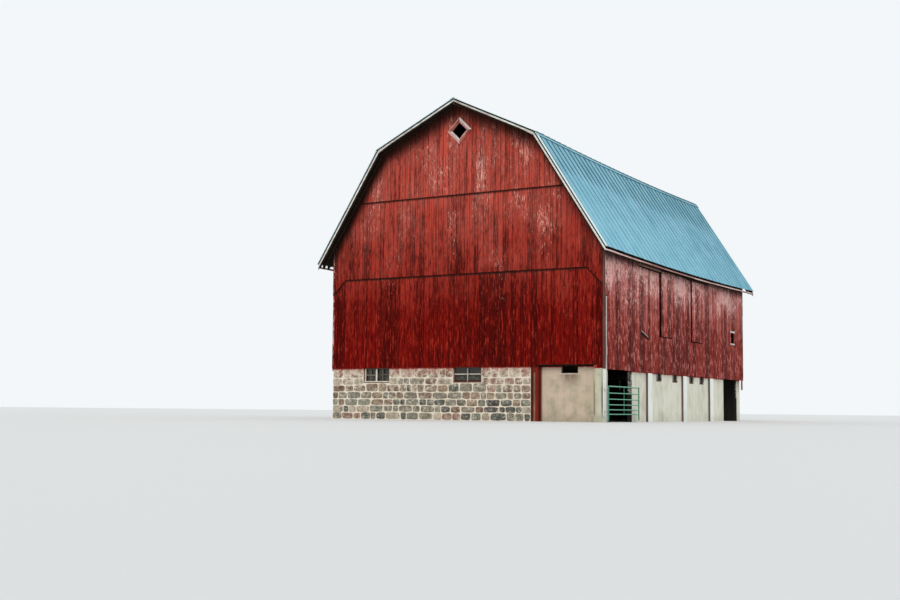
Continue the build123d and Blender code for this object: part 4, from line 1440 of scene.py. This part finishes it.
dark_middle, dark_reach, dark_stone = 1.5, 0.45, (0.03, 0.028, 0.03, 1.0)
window_course = 5
window_half, window_low = 0.6375, 1.47
window_centres = (-3.895, 0.36)
print(len(course_lines) - 1, "courses in", len(stone_colours), "colours")


def course_line(number, along):
    """Height of a course's lower joint, which wanders by a finger or two."""
    if number in (0, len(course_lines) - 1):
        return course_lines[number]
    return course_lines[number] + 0.03 * noise.noise(Vector((along * 0.5, number * 3.1, 0.3)))


def stone_colour(number, along, dark_place):
    """A colour for a stone of one course."""
    red, green, blue = stone_colours[chance.choice(course_choice[number])]
    light = chance.uniform(0.8, 1.2)
    if dark_place and 1 <= number <= 2 and abs(along - dark_middle) < dark_reach:
        return dark_stone
    return (red * light, green * light, blue * light, 1.0)


# %% One stone
def stone(shape, side, left, right, low, high, colour):
    """One split stone with rounded corners, swelling out of the joint."""
    wide, tall = (right - left) / 2, (high - low) / 2
    middle, level_at = (left + right) / 2, (low + high) / 2
    squareness = chance.uniform(0.34, 0.6)
    lean, taper = chance.uniform(-0.07, 0.07), chance.uniform(-0.07, 0.07)
    outline = []
    for i in range(outline_points):
        angle = 2 * math.pi * (i + 0.5) / outline_points
        c, s = math.cos(angle), math.sin(angle)
        along = math.copysign(abs(c) ** squareness, c) * chance.uniform(0.95, 1.03)
        up = math.copysign(abs(s) ** squareness, s) * chance.uniform(0.94, 1.04)
        outline.append((wide * (along * (1 - abs(taper) + taper * up) + lean * up * 0.5),
                        tall * up * (1 - abs(lean) + lean * along)))
    proud = chance.uniform(0.008, 0.02)
    rings = [[side.at(middle + a * size, out, level_at + b * size) for a, b in outline]
             for size, out in ((1.0, -0.02), (1.0, 0.002), (0.94, proud * 0.75), (0.7, proud))]
    shape.loft(rings, [colour])


# %% Stones of a wall
def course_edges(start, end, stops):
    """Edges of the stones in one course, with some broad and some narrow."""
    edges = [start]
    for stop in sorted(s for s in {*stops, end} if start < s <= end):
        count = max(1, round((stop - edges[-1]) / stone_length))
        edges += divided(edges[-1], stop, [chance.choice(stone_shares) for _ in range(count)])
    return edges


def stone_wall(side, start, end, centres, dark_place=False):
    """All the stones of one wall, round its windows."""
    shape = Shape()
    for number in range(len(course_lines) - 1):
        beside = number >= window_course
        stops = [c + sign * window_half for c in centres for sign in (-1, 1)] if beside else ()
        edges = course_edges(start, end, stops)
        for left, right in zip(edges, edges[1:]):
            middle = (left + right) / 2
            at_window = any(abs(middle - c) < window_half for c in centres)
            if at_window and beside:
                continue
            low, high = course_line(number, middle), course_line(number + 1, middle)
            if number == window_course - 1 and any(abs(middle - c) < window_half + 0.1 for c in centres):
                high = window_low - 0.01
            joint = chance.uniform(0.006, 0.012)
            stone(shape, side, left + joint, right - joint, low + joint, high - joint,
                  stone_colour(number, middle, dark_place))
    return shape


# %% Three stone walls
for wall_name, wall_side, centres in (("front", Side(True, -1, half_length - wall_inset), window_centres),
                                      ("rear", Side(True, 1, half_length - wall_inset), window_centres),
                                      ("left", Side(False, -1, half_width - wall_inset), ())):
    low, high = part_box(f"{wall_name}_stone_wall")
    start, end = (low.x, high.x) if wall_side.across_gable else (low.y, high.y)
    piece(f"{wall_name}_stones", stone_wall(wall_side, start, end, centres, wall_name == "front"),
          [stone_face], smooth=True)

# %% [markdown]
# ## Basement windows
#
# The frames are CAD solids and get a worn red brown paint. What a box can't show are the bars. The
# near window has a cream cross. The far one is in pieces: dull bars on the left, a pale post in the
# middle, a black gap, one narrow pane, and a pale sill over a dark one.

# %% Bars and sills
far, close = window_centres
bar_out, sill_out = -0.12, -0.118
bar_low, bar_high = window_low + 0.045, foundation_top - 0.055
# Each bar has its window's middle, a start and an end along the wall from there, a foot and a head,
# its thickness, its place out from the wall, and its finish.
bar_places = (
    (close, -0.018, 0.022, bar_low, bar_high, 0.03, bar_out, 0),
    (close, -0.58, 0.58, 1.785, 1.82, 0.026, bar_out, 0),
    (close, -0.58, 0.58, bar_low, bar_low + 0.05, 0.028, bar_out, 1),
    (far, -0.045, 0.025, bar_low, bar_high, 0.035, bar_out, 0),
    (far, -0.58, -0.53, bar_low, bar_high, 0.028, bar_out, 0),
    (far, -0.31, -0.285, bar_low, bar_high, 0.02, bar_out, 2),
    (far, -0.53, -0.045, 1.78, 1.805, 0.024, bar_out, 2),
    (far, 0.27, 0.31, bar_low, bar_high, 0.03, bar_out, 2),
    (far, 0.31, 0.58, 1.79, 1.815, 0.022, bar_out, 2),
    (far, -0.6, 0.6, window_low + 0.03, window_low + 0.08, 0.05, sill_out, 0),
    (far, -0.63, 0.63, window_low + 0.002, window_low + 0.028, 0.045, sill_out, 1),
    (close, -0.62, 0.62, window_low + 0.004, window_low + 0.042, 0.05, sill_out, 1),
)
bars = Shape()
for bar_side in (Side(True, -1, half_length), Side(True, 1, half_length)):
    for middle, start, end, foot, head, thickness, back, kind in bar_places:
        plank(bars, bar_side, (middle + start, middle + end), (foot, head), thickness, back, 0.003, kind)
piece("window_bars", bars, [muntin_paint, sash_paint, dull_paint])

# %% [markdown]
# ## Red post and vent
#
# The post at the end of the stone wall is three planks, and the middle one has lost its paint except
# at the top. A thin red batten edges the filled-in bay. The vent is a plain hole with a worn foot,
# and a worn board stands at the near side of the near doorway.

# %% Post and vent foot
post_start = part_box("front_red_post")[0].x
post_side = Side(True, -1, half_length - 0.25)
post_depth = 0.2
# Each plank has a start and an end across the post, a foot and a head, how far it lies back, and its finish.
post_planks = ((0.002, 0.1, 0.0, foundation_top, 0.0, 0), (0.108, 0.188, 0.0, 1.84, 0.014, 1),
               (0.102, 0.188, 1.845, foundation_top, 0.006, 0), (0.193, 0.288, 0.0, foundation_top, 0.005, 0))
post = Shape()
for start, end, foot, head, back, kind in post_planks:
    plank(post, post_side, (post_start + start, post_start + end), (foot, head - 0.001), post_depth - back,
          0.0, 0.008, kind)
plank(post, post_side, (bay_start + 0.004, bay_start + 0.05), (0.0, 2.05), 0.012, 0.0, 0.006)
piece("red_post_planks", post, [post_paint, bare_strip], replaces=["front_red_post"])

vent = Shape()
plank(vent, post_side, (vent_start + 0.005, vent_end - 0.005), (vent_foot, vent_foot + 0.03), 0.015, -0.01)
piece("vent_foot", vent, [lime_mortar])

jamb = Shape()
doorway_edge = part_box("near_corner_pier")[1].y
plank(jamb, right_face, (doorway_edge + 0.001, doorway_edge + 0.07), (0.0, side_foot - 0.02), 0.022, -0.03)
piece("doorway_jamb", jamb, [pink_trim])
print("doorway starts at", round(doorway_edge, 3))

# %% [markdown]
# ## Gate welds
#
# The gate is welded tube and keeps its CAD shape. Where each rail meets a stile, the real one has
# a bead of weld, which is the first place to rust. The beads are small swollen rings round the
# rails.

# %% Welds
gate_x = 6.215
rail_radius, top_rail_radius = 0.019, 0.024
gate_rails = ((0.293, rail_radius), (0.458, rail_radius), (0.643, rail_radius), (0.848, rail_radius),
              (1.073, rail_radius), (1.318, top_rail_radius))
gate_stiles = ((-8.481, 1), (-5.479, -1))
bead = ((0.022, 0.0015), (0.026, 0.004), (0.031, 0.0035), (0.036, 0.0005))
bead_points = 12
welds = Shape()
for height, radius in gate_rails:
    for stile, inward in gate_stiles:
        rings = []
        for off, swell in bead:
            ring = []
            for part in range(bead_points):
                angle = 2 * math.pi * part / bead_points
                around = radius + swell + chance.uniform(0, 0.001)
                ring.append((gate_x + around * math.cos(angle), stile + inward * off,
                             height + around * math.sin(angle)))
            rings.append(ring)
        welds.loft(rings, [(0.5, 0.5, 0.5, 1.0)])
piece("gate_welds", welds, [weld_metal], body="gate", smooth=True)


# %% [markdown]
# ## Finishes on the CAD solids
#
# Concrete, beams, floor, rafters and roof boards have the right shape already, so they stay and
# only change their material. The grain has to run along each beam, which is why the wood comes in
# three directions. Poured edges are never sharp: a small bevel modifier rounds them.

# %% Dress the solids
def dress(finish, *nodes, bevel=0.0):
    """Gives CAD solids a finish, and rounds their edges where bevel is more than nothing."""
    for node in nodes:
        solid = bpy.data.objects[node]
        for place_at in solid.material_slots:
            place_at.material = finish
        if bevel:
            rounded = solid.modifiers.new("worn edges", "BEVEL")
            rounded.width = bevel
            rounded.segments = 2
            rounded.limit_method = "ANGLE"
    print(finish.name, "on", ", ".join(nodes))


dress(infill_concrete, "front_infill_wall", bevel=0.01)
dress(pier_concrete, "near_corner_pier", bevel=0.015)
dress(pilaster_concrete, "right_wall_pilasters", bevel=0.015)
dress(panel_concrete, "right_wall_panels", "far_corner_pier", bevel=0.008)
dress(lime_mortar, "front_stone_wall", "rear_stone_wall", "left_stone_wall")
dress(roof_metal, "ridge_cap")
dress(soffit_and_shade_wood["X"], "lower_rafters", "upper_rafters")
dress(soffit_and_shade_wood["Y"], "roof_boards_lower", "roof_boards_upper_left", "roof_boards_upper_right")
dress(frame_wood["Z"], "wall_posts", "purlin_posts", "basement_posts", "tie_braces")
dress(frame_wood["X"], "floor_joists", "tie_beams")
# The sill beams over the basement take the near-black wood as painted shade in the gap under the boards.
dress(soffit_and_shade_wood["X"], "end_sill_beams")
dress(frame_wood["Y"], "side_sill_beams", "summer_beams", "roof_plates", "hay_floor")
dress(sash_paint, "end_window_frames", "side_window_frames", bevel=0.003)
dress(pane_glass, "window_glass")
dress(gate_green, "doorway_gate")
dress(hook_iron, "gate_hooks")

# %% [markdown]
# ## Camera, light and floor
#
# The camera repeats the photograph's: low, off the near corner, with its real height, pitch and
# roll. The light is plain: an even sky and one broad soft lamp, so that each colour shows about as
# it is written.

# %% Camera
camera_place = Vector((23.567, -49.64, 0.388))
camera_yaw = math.radians(30.37)
camera_pitch = math.radians(5.23)
camera_roll = math.radians(0.55)
image_width = 900
focal_pixels = 1204.9

forward = Vector((-math.sin(camera_yaw), math.cos(camera_yaw), 0)) * math.cos(camera_pitch)
forward.z = math.sin(camera_pitch)
level = Vector((math.cos(camera_yaw), math.sin(camera_yaw), 0))
upright = level.cross(forward)
right_hand = level * math.cos(camera_roll) + upright * math.sin(camera_roll)
upright = upright * math.cos(camera_roll) - level * math.sin(camera_roll)
lens = bpy.data.cameras.new("camera")
lens.sensor_width = 36.0
lens.lens = lens.sensor_width * focal_pixels / image_width
lens.clip_end = 500
camera = bpy.data.objects.new("camera", lens)
bpy.context.scene.collection.objects.link(camera)
camera.matrix_world = Matrix([(right_hand[i], upright[i], -forward[i], camera_place[i]) for i in range(3)]
                             + [(0, 0, 0, 1)])
bpy.context.scene.camera = camera
print("lens", round(lens.lens, 2), "mm")

# %% Floor
floor_mesh = bpy.data.meshes.new("floor")
floor_reach = 400
floor_mesh.from_pydata([(-floor_reach, -floor_reach, 0), (floor_reach, -floor_reach, 0),
                        (floor_reach, floor_reach, 0), (-floor_reach, floor_reach, 0)], [], [(0, 1, 2, 3)])
floor = bpy.data.objects.new("floor", floor_mesh)
bpy.context.scene.collection.objects.link(floor)
floor_paint, floor_graph, floor_shader, _ = material("floor_paint")
surface(floor_graph, floor_shader, (0.78, 0.78, 0.76, 1), 0.9)
floor_mesh.materials.append(floor_paint)
print("floor", 2 * floor_reach, "m square")

# %% Sky and lamp
world = bpy.data.worlds.new("sky")
bpy.context.scene.world = world
world.use_nodes = True
sky = Graph(world.node_tree)
sky_light = world.node_tree.nodes["Background"]
sky_light.inputs["Color"].default_value = (0.93, 0.97, 1.0, 1)
sky_light.inputs["Strength"].default_value = 0.72
shown_sky = sky.add("Background", Color=(0.9, 0.93, 0.95, 1), Strength=1.0)
ray = sky.add("LightPath").outputs
seen = sky.larger(ray["Is Camera Ray"], sky.larger(ray["Is Glossy Ray"], ray["Is Transmission Ray"]))
joined = sky.add("MixShader", Fac=seen)
sky.feed(joined.inputs[1], sky_light.outputs[0])
sky.feed(joined.inputs[2], shown_sky.outputs[0])
sky.feed(world.node_tree.nodes["World Output"].inputs["Surface"], joined.outputs[0])

lamp_data = bpy.data.lights.new("lamp", "SUN")
lamp_data.energy = 1.15
lamp_data.angle = math.radians(35)
lamp = bpy.data.objects.new("lamp", lamp_data)
lamp.rotation_euler = (math.radians(48), 0, math.radians(18))
bpy.context.scene.collection.objects.link(lamp)
bpy.context.scene.view_settings.view_transform = "Standard"
print("lamp", lamp_data.energy, "and sky", sky_light.inputs["Strength"].default_value)
